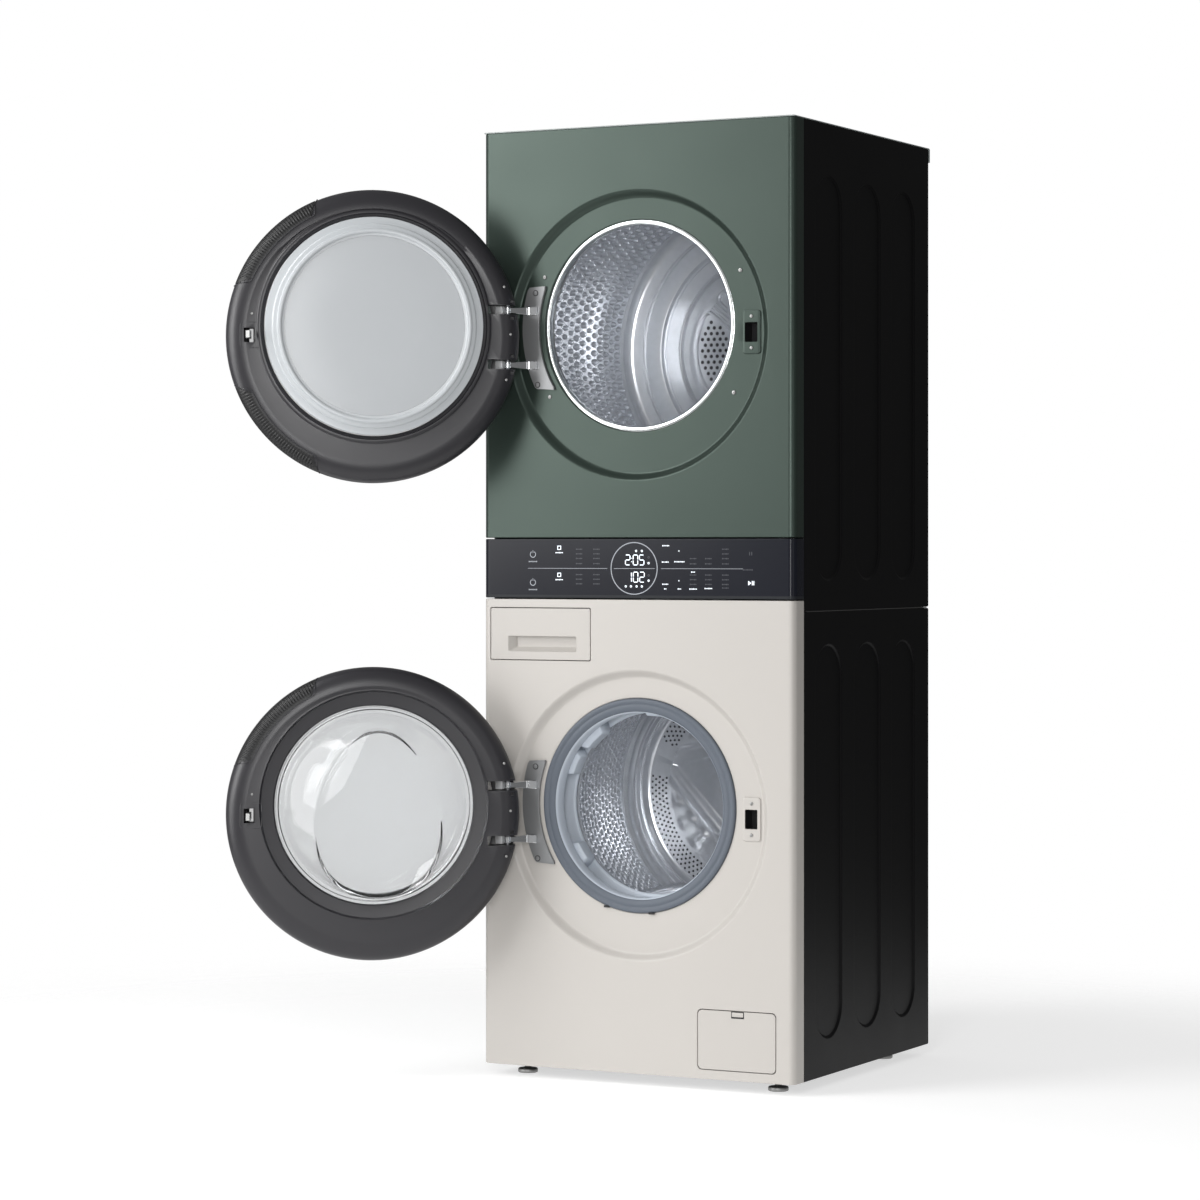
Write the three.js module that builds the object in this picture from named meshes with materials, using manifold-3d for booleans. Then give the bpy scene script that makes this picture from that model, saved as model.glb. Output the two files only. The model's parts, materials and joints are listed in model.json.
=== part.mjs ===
// A stacked washer and dryer: the washer stands at the bottom, the dryer on top of it, and one control
// panel between them runs both. Millimetres, +Z up, the front faces -Y. The origin lies on the floor,
// under the middle of the front panel. Both doors are modelled standing open.
import * as THREE from "three";
import { mergeVertices } from "three/addons/utils/BufferGeometryUtils.js";
import Module from "manifold-3d";

const wasm = await Module();
wasm.setup();

// ---- driving dimensions -------------------------------------------------------------------------

const GAP = 0.4; // between pieces that touch on the real machine
const FIT = 1.2; // around a piece that slides or turns in its seat
const SHEET = 1.5; // pressed steel of the casing

const CABINET = { width: 600, depth: 590, base: 20, seam: 817, top: 1655 };
const WRAP = { depth: 38, radius: 12, sheet: 2 }; // a front panel folds round the cabinet's edge
const FLANGE = 16; // in-turned edges of the casing sheets
const BAND = { bottom: 838, top: 941 }; // heights of the control panel
const LID = { sheet: 2, skirt: 13, lip: 26, overhang: 8, skirtFront: 60, skirtBack: 20 };
const BULGE = { washer: 165, dryer: 235, slope: 8 }; // round covers pressed out of the rear sheets

const RECESS = { lip: 2, wall: 16, depth: 12 }; // the dish that the door closes over
const OFFSET = 16.4; // the opening sits this far above the middle of its dish
const WASHER = { dish: 464.5, opening: 185.4 };
const DRYER = { dish: 1291.6, opening: 182.3, ring: 8 };

const DOOR = { radius: 254, face: -1, back: -57, skin: 4, round: 14, split: -45, open: 144.9 };
const HINGE = { inset: 19.5, y: -30.9, arms: 47.5, pin: 3.2, eye: 7.5, armHeight: 13, slot: 20 };
const ARM = { inner: 196, outer: 212, root: 5 }; // where a hinge arm stands on its plate
const HUB = { reach: 66, wall: 12 }; // the thick part of a door frame that holds the hinge pin
const HINGE_PLATE = { inner: 193, outer: 226, half: 89.5, sheet: 5 };
const DISC = { radius: 189, glass: 150, step: 176, rise: 14, flange: 5 };
const BOWL = { radius: 171, depth: 62, wall: 5 };
const LATCH = { x: 216, pivot: -14, reach: 28, width: 6, height: 12, windowX: 8, windowZ: 14 };
const LOCK = { plateHalf: [16, 36.5], hole: [203.5, 226], holeHalf: 16.5, plate: 3.6, depth: 28, end: 3 };
const LOCK_BODY = { left: 2, right: 4, ends: 8 }; // how far the lock's body stands in from its plate

const TUB = { radius: 255, wall: 6, front: 78, back: 487, mouth: 196, hub: 60, hubBack: 515 };
const DRUM = { radius: 236, wall: 1.5, front: 98, back: 455, mouth: 178, shaft: 20 };
const LIFTER = { height: 38, base: 34, crest: 10, sheet: 2, front: 148, back: 435, turn: -Math.PI / 6 };
const SPIDER = { hub: 44, hubDepth: 12, width: 36, depth: 9, rim: 24 };
const ROTOR = { radius: 140, wall: 6, front: 508, back: 545, magnetGap: 4 };
const GASKET = { lip: 160, front: 9, wall: 6 };

const DRYER_DRUM = { radius: 272, wall: 1.5, front: 42, back: 520, mouth: 196, shaft: 12 };
const BULKHEAD = { front: 24, sheet: 3, neck: 44, wall: 5, bottom: 1003, top: 1640 };
const REAR_DUCT = { radius: 238, front: 530, plate: 548, sheet: 4 };
const ROLLER = { radius: 25, width: 20, front: 466, axle: 6, angle: 38 };
const BELT = { front: 228, width: 13, thickness: 2.4, facets: 48 };
const MOTOR = { x: -190, z: 922, radius: 42, front: 262, back: 402, shaft: 7, pulley: 16 };
const FAN = { radius: 62, front: 430, back: 462, hub: 20, blades: 8 };
const FILTER = { half: 90, thickness: 10, bottom: 1012, side: 1.4, front: 1.6, tongue: 22, pocket: 16 };
const COMPRESSOR = { x: 205, y: 400, radius: 56, height: 160, base: 12, half: [60, 55], baseTop: 14 };
const EXCHANGER = { x: [-50, 130], y: [120, 300], height: 118 };
const DAMPER = { x: 165, y: 290, tube: 16, rod: 8, tubeTop: 160, clear: 14 };
const PUMP = { body: 4, back: 118, motor: 22, motorBack: 175, half: 30, front: 70 };

const DRAWER = { left: -285, right: -88.7, bottom: 730, top: 820, front: 18, depth: 240, wall: 2 };
const HANDLE = { left: -250, right: -116, bottom: 745, top: 771, depth: 14 };
const HATCH = { left: 119, right: 264.5, bottom: 37, top: 138, sheet: 3, corner: 8 };
const CAP = { x: 190, z: 86, radius: 28, front: 12, back: 40, gripDepth: 14, gripHalf: 5 };
const FOOT = { x: 243, front: 59, back: 512, pad: 17.5, padHeight: 8, stem: 6, stemTop: 46, nut: 7 };
const FRAME = { height: 30, sheet: 3, inset: 4 };

const ROUND = 32; // sides of the large circles
const SMALL = 12; // sides of the small ones

// ---- derived places -----------------------------------------------------------------------------

const HALF = CABINET.width / 2;
const WASHER_TOP = BAND.bottom - 2;
const DRYER_BOTTOM = BAND.top + 2;
const DRYER_TOP = CABINET.top - LID.sheet - GAP;
const WASHER_AXIS = WASHER.dish + OFFSET;
const DRYER_OPENING = DRYER.dish + OFFSET;
const DECK = { bottom: CABINET.seam - SHEET / 2, top: CABINET.seam + SHEET / 2 };
const SIDE_FRONT = WRAP.depth + GAP;
const DISH_RADIUS = DOOR.radius - RECESS.lip;
const HINGE_X = HINGE.inset - DOOR.radius;
const DRYER_CUT = DRYER.opening + DRYER.ring + GAP;

// ---- materials ----------------------------------------------------------------------------------

const finish = (color, roughness, metalness) =>
  new THREE.MeshStandardMaterial({ color, roughness, metalness });
const FINISH = {
  green: finish(0x56675f, 0.42, 0.2),
  beige: finish(0xd9d3cc, 0.42, 0.1),
  black: finish(0x161616, 0.5, 0.3),
  panel: finish(0x25262d, 0.12, 0),
  charcoal: finish(0x272629, 0.38, 0),
  paleGrey: finish(0xb1b5b8, 0.35, 0),
  glass: finish(0xcbcfd2, 0.08, 0),
  chrome: finish(0xd6d8da, 0.12, 1),
  steel: finish(0xa9adb2, 0.28, 1),
  zinc: finish(0x8d8f91, 0.45, 0.8),
  rubber: finish(0x6f7a86, 0.6, 0),
  belt: finish(0x1d1d1d, 0.8, 0),
  moulded: finish(0xc9cac8, 0.55, 0),
  iron: finish(0x4d4f52, 0.6, 0.6),
  copper: finish(0x9a9ea3, 0.4, 0.9),
};

// ---- shapes -------------------------------------------------------------------------------------

// A closed geometry as a solid; a revolved or extruded outline may run either way round.
function solid(geometry) {
  const bare = geometry.clone();
  bare.deleteAttribute("normal");
  bare.deleteAttribute("uv");
  const merged = mergeVertices(bare, 1e-3);
  const triVerts = new Uint32Array(merged.index.array);
  const vertProperties = merged.attributes.position.array;
  const made = new wasm.Manifold(new wasm.Mesh({ numProp: 3, vertProperties, triVerts }));
  if (made.volume() > 0) return made;
  const turned = triVerts.slice().reverse();
  return new wasm.Manifold(new wasm.Mesh({ numProp: 3, vertProperties, triVerts: turned }));
}

const join = (first, ...rest) => rest.reduce((a, b) => a.add(b), first);
const cut = (first, ...rest) => rest.reduce((a, b) => a.subtract(b), first);

function box([x0, x1], [y0, y1], [z0, z1]) {
  const block = new THREE.BoxGeometry(x1 - x0, y1 - y0, z1 - z0);
  return solid(block.translate((x0 + x1) / 2, (y0 + y1) / 2, (z0 + z1) / 2));
}

// A cylinder along Y from y0 to y1, about the point (x, z).
function rodY(radius, [y0, y1], [x, z], sides = ROUND) {
  const rod = new THREE.CylinderGeometry(radius, radius, y1 - y0, sides);
  return solid(rod.translate(x, (y0 + y1) / 2, z));
}

// A cylinder along Z from z0 to z1, about the point (x, y).
function rodZ(radius, [z0, z1], [x, y], sides = SMALL) {
  const rod = new THREE.CylinderGeometry(radius, radius, z1 - z0, sides).rotateX(Math.PI / 2);
  return solid(rod.translate(x, y, (z0 + z1) / 2));
}

// An outline of [radius, y] points turned about the Y direction through (x, z).
function turnY(outline, [x, z], sides = ROUND) {
  const onAxis = outline[0][0] === 0 && outline[outline.length - 1][0] === 0;
  const closed = onAxis ? outline : [...outline, outline[0]];
  const points = closed.map(([r, y]) => new THREE.Vector2(r, y));
  return solid(new THREE.LatheGeometry(points, sides).translate(x, 0, z));
}

// A flat shape drawn in (x, z), standing upright from y0 back to y1.
function slab(shape, [y0, y1], curve = 12) {
  const options = { depth: y1 - y0, bevelEnabled: false, curveSegments: curve };
  const plate = new THREE.ExtrudeGeometry(shape, options);
  return solid(plate.rotateX(Math.PI / 2).translate(0, y1, 0));
}

// A flat shape drawn in (x, y), raised from z0 to z1.
function prism(shape, [z0, z1], curve = 4) {
  const options = { depth: z1 - z0, bevelEnabled: false, curveSegments: curve };
  return solid(new THREE.ExtrudeGeometry(shape, options).translate(0, 0, z0));
}

const polygon = (points) => new THREE.Shape(points.map(([u, v]) => new THREE.Vector2(u, v)));

function roundedRectangle([u0, u1], [v0, v1], r) {
  const shape = new THREE.Shape();
  shape.moveTo(u0 + r, v0).lineTo(u1 - r, v0);
  shape.absarc(u1 - r, v0 + r, r, -Math.PI / 2, 0, false);
  shape.absarc(u1 - r, v1 - r, r, 0, Math.PI / 2, false);
  shape.absarc(u0 + r, v1 - r, r, Math.PI / 2, Math.PI, false);
  shape.absarc(u0 + r, v0 + r, r, Math.PI, Math.PI * 1.5, false);
  return shape;
}

// A tray that is open on the side named by `open`: the block less its inside.
function shell([x0, x1], [y0, y1], [z0, z1], wall, open) {
  const inside = {
    x: [x0 + wall, x1 - wall],
    y: [open === "front" ? y0 - wall : y0 + wall, y1 - wall],
    z: [z0 + wall, open === "top" ? z1 + wall : z1 - wall],
  };
  return cut(box([x0, x1], [y0, y1], [z0, z1]), box(inside.x, inside.y, inside.z));
}

const machine = new THREE.Group();

function add(name, body, material, group = machine, origin = [0, 0, 0]) {
  const { numProp, vertProperties, triVerts } = body.getMesh();
  const geometry = new THREE.BufferGeometry();
  const data = new THREE.InterleavedBuffer(new Float32Array(vertProperties), numProp);
  geometry.setAttribute("position", new THREE.InterleavedBufferAttribute(data, 3, 0));
  geometry.setIndex(new THREE.BufferAttribute(new Uint32Array(triVerts), 1));
  const loose = geometry.toNonIndexed();
  loose.translate(-origin[0], -origin[1], -origin[2]);
  loose.computeVertexNormals();
  const mesh = new THREE.Mesh(loose, material);
  mesh.name = name;
  group.add(mesh);
}

// ---- casing -------------------------------------------------------------------------------------

// The sheet of a front: flat, with a rounded edge and a return along each side of the cabinet.
function wrappedFront(bottom, top) {
  const r = WRAP.radius;
  const t = WRAP.sheet;
  const outline = new THREE.Shape();
  outline.moveTo(-HALF, WRAP.depth).lineTo(-HALF, r);
  outline.absarc(-HALF + r, r, r, Math.PI, Math.PI * 1.5, false);
  outline.absarc(HALF - r, r, r, -Math.PI / 2, 0, false);
  outline.lineTo(HALF, WRAP.depth).lineTo(HALF - t, WRAP.depth);
  outline.absarc(HALF - r, r, r - t, 0, -Math.PI / 2, true);
  outline.absarc(-HALF + r, r, r - t, -Math.PI / 2, -Math.PI, true);
  outline.lineTo(-HALF + t, WRAP.depth).closePath();
  return prism(outline, [bottom, top]);
}

// The dish pressed into a front: a smooth fall from the flat face to the floor round the opening.
function dish(height) {
  const t = WRAP.sheet;
  const steps = 3;
  const wall = Array.from({ length: steps + 1 }, (_, i) => {
    const s = i / steps;
    const fall = (1 - Math.cos(Math.PI * s)) / 2;
    return [DISH_RADIUS - RECESS.wall * s, RECESS.depth * fall];
  });
  const back = wall.map(([r, y]) => [r + (y > 0 ? t / 2 : 0), y + t]);
  return turnY([[0, RECESS.depth], ...wall.reverse(), ...back], [0, height]);
}

function frontWithDish(bottom, top, height, opening) {
  const through = [-1, RECESS.depth + WRAP.sheet + 1];
  const sheet = cut(wrappedFront(bottom, top), rodY(DISH_RADIUS - 0.5, through, [0, height]));
  return cut(join(sheet, dish(height)), rodY(opening, [-1, 40], [0, height + OFFSET]));
}

function lockCut(height) {
  const [w, h] = LOCK.plateHalf;
  const x = LATCH.x - 1;
  const { left, right, ends } = LOCK_BODY;
  return box([x - w + left, x + w - right], [5, 30], [height - h + ends, height + h - ends]);
}

add("washer_front_panel",
  cut(
    frontWithDish(CABINET.base, WASHER_TOP, WASHER.dish, WASHER.opening),
    box([DRAWER.left - FIT, DRAWER.right + FIT], [-1, 30], [DRAWER.bottom - FIT, DRAWER.top + FIT]),
    box([HATCH.left - FIT, HATCH.right + FIT], [-1, 30], [HATCH.bottom - FIT, HATCH.top + FIT]),
    lockCut(WASHER.dish),
  ), FINISH.beige);
add("dryer_front_panel",
  cut(
    frontWithDish(DRYER_BOTTOM, DRYER_TOP, DRYER.dish, DRYER_CUT),
    lockCut(DRYER.dish),
  ), FINISH.green);
add("control_panel", wrappedFront(BAND.bottom, BAND.top), FINISH.panel);

// A side sheet with its front and rear edges turned in.
function sidePanel(side, bottom, top) {
  const outer = side * HALF;
  const inner = side * (HALF - SHEET);
  const lip = side * (HALF - FLANGE);
  const [y0, y1] = [SIDE_FRONT, CABINET.depth - SHEET - GAP];
  const outline = polygon([
    [outer, y0], [outer, y1], [lip, y1], [lip, y1 - SHEET],
    [inner, y1 - SHEET], [inner, y0 + SHEET], [lip, y0 + SHEET], [lip, y0],
  ]);
  return prism(outline, [bottom, top]);
}

for (const [name, side] of [["left", -1], ["right", 1]]) {
  add(`lower_${name}_side_panel`, sidePanel(side, CABINET.base, DECK.bottom - GAP), FINISH.black);
  add(`upper_${name}_side_panel`, sidePanel(side, DECK.top + GAP, DRYER_TOP), FINISH.black);
}

// A rear sheet with a shallow round cover pressed out of it, so that the drive behind it has room.
function rearPanel(bottom, top, height, radius) {
  const sheet = box([-HALF, HALF], [CABINET.depth - SHEET, CABINET.depth], [bottom, top]);
  const out = CABINET.depth + LID.overhang;
  const bulge = turnY([
    [0, out - SHEET], [radius - BULGE.slope, out - SHEET], [radius, CABINET.depth - SHEET],
    [radius + SHEET, CABINET.depth], [radius - BULGE.slope + 2, out], [0, out],
  ], [0, height]);
  const hole = rodY(radius, [CABINET.depth - 3, CABINET.depth + 1], [0, height]);
  return join(cut(sheet, hole), bulge);
}

add("lower_rear_panel",
  rearPanel(CABINET.base, DECK.bottom - GAP, WASHER_AXIS, BULGE.washer), FINISH.black);
add("upper_rear_panel",
  rearPanel(DECK.top + GAP, DRYER_TOP, DRYER.dish, BULGE.dryer), FINISH.black);

const insideHalf = HALF - SHEET - GAP;
const deckDepth = [SIDE_FRONT + FLANGE, CABINET.depth - 4];
add("divider_deck", box([-insideHalf, insideHalf], deckDepth, [DECK.bottom, DECK.top]), FINISH.zinc);

const lidBack = CABINET.depth + LID.overhang;
const lidUnder = CABINET.top - LID.sheet;
const skirtX = insideHalf - FLANGE;
const skirtY = [LID.skirtFront, CABINET.depth - LID.skirtBack];
const skirtZ = [CABINET.top - LID.skirt, lidUnder];
add("top_cover",
  join(
    box([-HALF, HALF], [0, lidBack], [lidUnder, CABINET.top]),
    box([-HALF, HALF], [CABINET.depth + GAP * 2, lidBack], [CABINET.top - LID.lip, lidUnder]),
    box([-skirtX, -skirtX + LID.sheet], skirtY, skirtZ),
    box([skirtX - LID.sheet, skirtX], skirtY, skirtZ),
  ), FINISH.black);

const frameHalf = HALF - SHEET - FRAME.inset;
const frameSpan = [[-frameHalf, frameHalf], [SIDE_FRONT + 4, CABINET.depth - SHEET - FLANGE]];
const feet = [
  ["front_left_foot", -FOOT.x, FOOT.front], ["front_right_foot", FOOT.x, FOOT.front],
  ["rear_left_foot", -FOOT.x, FOOT.back], ["rear_right_foot", FOOT.x, FOOT.back],
];
add("base_frame",
  cut(
    shell(...frameSpan, [CABINET.base, CABINET.base + FRAME.height], FRAME.sheet, "top"),
    ...feet.map(([, x, y]) => rodZ(FOOT.stem + 0.5, [CABINET.base - 1, CABINET.base + 9], [x, y])),
  ), FINISH.zinc);

// A levelling foot: pad on the floor, lock nut and threaded stem up into the base frame.
for (const [name, x, y] of feet) {
  add(name,
    join(
      rodZ(FOOT.pad, [0, FOOT.padHeight], [x, y], 20),
      rodZ(FOOT.stem, [FOOT.padHeight - 1, FOOT.stemTop], [x, y]),
      rodZ(FOOT.stem + 5, [CABINET.base - FOOT.nut, CABINET.base - GAP], [x, y], 6),
    ), FINISH.zinc);
}

// ---- door hardware on the cabinet ---------------------------------------------------------------

function doorLock(height) {
  const [w, h] = LOCK.plateHalf;
  const x = LATCH.x - 1;
  const back = RECESS.depth - GAP;
  const left = x - w + LOCK_BODY.left + GAP;
  const right = x + w - LOCK_BODY.right - GAP;
  const half = h - LOCK_BODY.ends - GAP;
  const body = join(
    box([x - w, x + w], [back - LOCK.plate, back], [height - h, height + h]),
    box([left, right], [back - 1, back + LOCK.depth], [height - half, height + half]),
  );
  const z = [height - LOCK.holeHalf, height + LOCK.holeHalf];
  return cut(body, box(LOCK.hole, [0, back + LOCK.depth - LOCK.end], z));
}

add("washer_door_lock", doorLock(WASHER.dish), FINISH.iron);
add("dryer_door_lock", doorLock(DRYER.dish), FINISH.iron);

// The hinge plate is an arc that follows the opening on the hinge side.
function hingePlate(height) {
  const centre = height + OFFSET;
  const { inner, outer, half, sheet } = HINGE_PLATE;
  const top = half - OFFSET;
  const bottom = -half - OFFSET;
  const at = (r, drop) => Math.PI - Math.asin(drop / r);
  const shape = new THREE.Shape();
  shape.absarc(0, centre, outer, at(outer, top), at(outer, bottom), false);
  shape.absarc(0, centre, inner, at(inner, bottom), at(inner, top), true);
  shape.closePath();
  const back = RECESS.depth - GAP;
  return slab(shape, [back - sheet, back], 10);
}

// A hinge arm runs from the plate forwards to the eye that the hinge pin passes through.
function hingeArm(height) {
  const foot = RECESS.depth - GAP - HINGE_PLATE.sheet - GAP;
  const { y, eye, pin, armHeight } = HINGE;
  const x = HINGE_X;
  const z = [height - armHeight / 2, height + armHeight / 2];
  const bar = polygon([
    [-ARM.outer, foot], [-ARM.inner, foot], [-ARM.inner, foot - ARM.root],
    [x + eye * 0.75, y - eye * 0.4], [x - eye * 0.4, y + eye * 0.75],
  ]);
  const arm = join(prism(bar, z), rodZ(eye, z, [x, y]));
  return cut(arm, rodZ(pin + GAP, [z[0] - 1, z[1] + 1], [x, y]));
}

for (const [machineName, height] of [["washer", WASHER.dish], ["dryer", DRYER.dish]]) {
  add(`${machineName}_hinge_plate`, hingePlate(height), FINISH.zinc);
  add(`${machineName}_upper_hinge_arm`, hingeArm(height + HINGE.arms), FINISH.chrome);
  add(`${machineName}_lower_hinge_arm`, hingeArm(height - HINGE.arms), FINISH.chrome);
}

// ---- doors --------------------------------------------------------------------------------------

// Each door is drawn shut and hangs in a group at its hinge pin, which turns it open.
function doorFrame(height, hole) {
  const { radius, face, back, skin, split } = DOOR;
  const rim = [0, 30, 60, 90].map((a) => {
    const t = (a * Math.PI) / 180;
    return [radius - 6 + 6 * Math.cos(t), face - 6 + 6 * Math.sin(t)];
  });
  const cup = turnY([
    [0, face - 7], [0, face], ...rim.reverse(), [radius, split + GAP],
    [radius - skin, split + GAP], [radius - skin, face - 7],
  ], [0, height]);
  const span = [split + GAP, face - 2];
  const wall = rodY(hole + skin, span, [0, height + OFFSET]);
  const inHub = HINGE.arms + HINGE.slot / 2 + HUB.wall;
  const hub = box([-radius + 3, -radius + HUB.reach], span, [height - inHub, height + inHub])
    .intersect(rodY(radius - 1, span, [0, height]));
  const slots = [-1, 1].map((side) => {
    const z = height + side * HINGE.arms;
    return box([-radius - 1, -ARM.inner], [split - 4, 1], [z - HINGE.slot / 2, z + HINGE.slot / 2]);
  });
  const { x: latchX, windowX, windowZ } = LATCH;
  const windowSpan = [height - windowZ, height + windowZ];
  const latchWindow = box([latchX - windowX, latchX + windowX], [-32, 1], windowSpan);
  return cut(
    join(cup, wall, hub),
    rodY(hole, [back, 5], [0, height + OFFSET]),
    rodZ(HINGE.pin + GAP, [height - inHub - 1, height + inHub + 1], [HINGE_X, HINGE.y]),
    latchWindow,
    ...slots,
  );
}

function doorCover(height) {
  const { radius, back, round, split } = DOOR;
  const edge = [0, 30, 60, 90].map((a) => {
    const t = (a * Math.PI) / 180;
    const depth = Math.min(round, split - back - 1);
    return [radius - round + round * Math.sin(t), back + depth - depth * Math.cos(t)];
  });
  const cover = turnY([
    [0, back], ...edge, [radius, split], [radius - 12, split],
    [radius - 22, back + 5], [0, back + 5],
  ], [0, height]);
  const notches = [-1, 1].map((side) => {
    const middle = height + side * HINGE.arms;
    const z = [middle - HINGE.slot / 2, middle + HINGE.slot / 2];
    return box([-radius - 1, -radius + 20], [split - 5, split + 1], z);
  });
  return cut(cover, ...notches);
}

function latchHook(height) {
  const { x, pivot, reach, width, height: tall } = LATCH;
  const profile = polygon([
    [x - width / 2, pivot - 5], [x + width / 2, pivot - 5], [x + width / 2, reach - 8],
    [x + width / 2 + 3, reach - 6], [x, reach], [x - width / 2, reach - 4],
  ]);
  const z = [height - tall / 2, height + tall / 2];
  return join(prism(profile, z), rodZ(5, z, [x, pivot]));
}

function door(machineName, height, hole, glass, glassFinish) {
  const origin = [HINGE_X, HINGE.y, 0];
  const group = new THREE.Group();
  group.position.set(...origin);
  group.rotation.z = THREE.MathUtils.degToRad(-DOOR.open);
  machine.add(group);
  const half = HINGE.arms + HINGE.slot / 2 + HUB.wall - 1;
  const pin = rodZ(HINGE.pin, [height - half, height + half], [HINGE_X, HINGE.y]);
  add(`${machineName}_door_frame`, doorFrame(height, hole + GAP), FINISH.charcoal, group, origin);
  add(`${machineName}_door_cover`, doorCover(height), FINISH.charcoal, group, origin);
  add(`${machineName}_door_glass`, glass, glassFinish, group, origin);
  add(`${machineName}_door_hinge_pin`, pin, FINISH.steel, group, origin);
  add(`${machineName}_door_hook`, latchHook(height), FINISH.chrome, group, origin);
}

const { radius: discRadius, glass: discGlass, step, rise, flange } = DISC;
const innerDisc = turnY([
  [0, rise - 8], [0, rise - 4], [discGlass, rise - 4], [discGlass + 4, rise], [step - 3, rise],
  [step, flange], [discRadius, flange - 1], [discRadius, -8], [discRadius - 5, -8],
  [step - 4, 0], [discGlass, rise - 8],
], [0, DRYER_OPENING]);
door("dryer", DRYER.dish, DISC.radius, innerDisc, FINISH.paleGrey);

const bowlOut = [
  [BOWL.radius, -8], [BOWL.radius, 0], [BOWL.radius - 13, 12], [BOWL.radius - 31, 36],
  [BOWL.radius - 53, BOWL.depth - 8], [BOWL.radius - 79, BOWL.depth], [0, BOWL.depth],
];
const bowlIn = bowlOut
  .map(([r, y]) => [Math.max(r - BOWL.wall, 0), Math.max(y - BOWL.wall, -8)])
  .reverse();
const bowl = turnY([...bowlIn, ...bowlOut], [0, WASHER_AXIS]);
door("washer", WASHER.dish, BOWL.radius, bowl, FINISH.glass);

// ---- washer -------------------------------------------------------------------------------------

const washerAxis = [0, WASHER_AXIS];
const shaftBore = DRUM.shaft + FIT;
add("washer_tub", turnY([
  [TUB.mouth, TUB.front], [TUB.radius - 8, TUB.front + 3], [TUB.radius, TUB.front + 12],
  [TUB.radius, TUB.back - 12], [TUB.hub + 50, TUB.back], [TUB.hub, TUB.back], [TUB.hub, TUB.hubBack],
  [shaftBore, TUB.hubBack], [shaftBore, TUB.back - TUB.wall - 4], [TUB.hub + 50, TUB.back - TUB.wall - 4],
  [TUB.radius - TUB.wall, TUB.back - 20], [TUB.radius - TUB.wall, TUB.front + 16],
  [TUB.radius - 12, TUB.front + 9], [TUB.mouth, TUB.front + 6],
], washerAxis), FINISH.moulded);

const inWall = DRUM.radius - DRUM.wall;
// The lifters are hollow ribs, pressed from the drum's own wall, so they are open on the outside.
function lifterRibs(wall, end) {
  const top = inWall - LIFTER.height + wall;
  const base = inWall + (wall > 0 ? 5 : 1);
  const [foot, crest] = [LIFTER.base - wall, LIFTER.crest - wall];
  const rib = polygon([[-foot, base], [foot, base], [crest, top], [-crest, top]]);
  return [0, 1, 2].map((i) => {
    const depth = LIFTER.back - LIFTER.front - 2 * end;
    const bar = new THREE.ExtrudeGeometry(rib, { depth, bevelEnabled: false });
    bar.rotateX(Math.PI / 2).translate(0, LIFTER.back - end, 0);
    return solid(bar.rotateY((i * 2 * Math.PI) / 3 + LIFTER.turn).translate(0, 0, WASHER_AXIS));
  });
}
add("washer_drum", cut(join(turnY([
  [0, DRUM.back - DRUM.wall], [inWall, DRUM.back - DRUM.wall], [inWall, DRUM.front + 9],
  [DRUM.mouth, DRUM.front + 3.5], [DRUM.mouth, DRUM.front], [DRUM.radius, DRUM.front + 5.5],
  [DRUM.radius, DRUM.back], [0, DRUM.back],
], washerAxis), ...lifterRibs(0, 0)), ...lifterRibs(LIFTER.sheet, LIFTER.sheet)), FINISH.steel);

// A three-armed spider holds the drum's back and carries the shaft through the tub's bearings.
const spiderArms = [0, 1, 2].map((i) => {
  const reach = DRUM.radius - SPIDER.rim;
  const arm = new THREE.BoxGeometry(SPIDER.width, SPIDER.depth, reach);
  arm.translate(0, DRUM.back + GAP + SPIDER.depth / 2, reach / 2).rotateY((i * 2 * Math.PI) / 3);
  return solid(arm.translate(0, 0, WASHER_AXIS));
});
const shaftStart = DRUM.back + SPIDER.hubDepth - 1;
add("washer_drum_shaft", join(
  rodY(SPIDER.hub, [DRUM.back + GAP, DRUM.back + SPIDER.hubDepth], washerAxis, SMALL * 2),
  rodY(DRUM.shaft, [shaftStart, ROTOR.back - ROTOR.wall - GAP], washerAxis, SMALL * 2),
  ...spiderArms,
), FINISH.iron);

add("washer_rotor", turnY([
  [0, ROTOR.back - ROTOR.wall], [ROTOR.radius - ROTOR.wall, ROTOR.back - ROTOR.wall],
  [ROTOR.radius - ROTOR.wall, ROTOR.front], [ROTOR.radius, ROTOR.front],
  [ROTOR.radius, ROTOR.back], [0, ROTOR.back],
], washerAxis), FINISH.iron);

const statorRadius = ROTOR.radius - ROTOR.wall - ROTOR.magnetGap;
const statorBack = ROTOR.back - ROTOR.wall - FIT * 3;
add("washer_stator", turnY([
  [TUB.hub + GAP, TUB.back + GAP], [statorRadius, TUB.back + 20], [statorRadius, statorBack],
  [TUB.hub + GAP, statorBack],
], washerAxis), FINISH.copper);

const seat = WASHER.opening - GAP;
const tubSeat = TUB.mouth - GAP;
add("door_gasket", turnY([
  [seat, GASKET.front], [seat, 30], [seat + 5, 42], [tubSeat, 58], [tubSeat, TUB.front + 8],
  [tubSeat - GASKET.wall, TUB.front + 8], [tubSeat - GASKET.wall, 62], [seat - 6, 48],
  [GASKET.lip, 42], [GASKET.lip, 36], [seat - 14, 28], [seat - 9, 16], [seat - 10, GASKET.front],
], washerAxis), FINISH.rubber);

const frameTop = CABINET.base + FRAME.sheet + GAP;
for (const [name, side] of [["left", -1], ["right", 1]]) {
  const at = [side * DAMPER.x, DAMPER.y];
  const tubBottom = WASHER_AXIS - Math.sqrt(TUB.radius ** 2 - DAMPER.x ** 2);
  add(`${name}_tub_damper`, join(
    rodZ(DAMPER.tube, [frameTop, DAMPER.tubeTop], at),
    rodZ(DAMPER.rod, [DAMPER.tubeTop - 1, tubBottom - DAMPER.clear], at),
  ), FINISH.iron);
}

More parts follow.
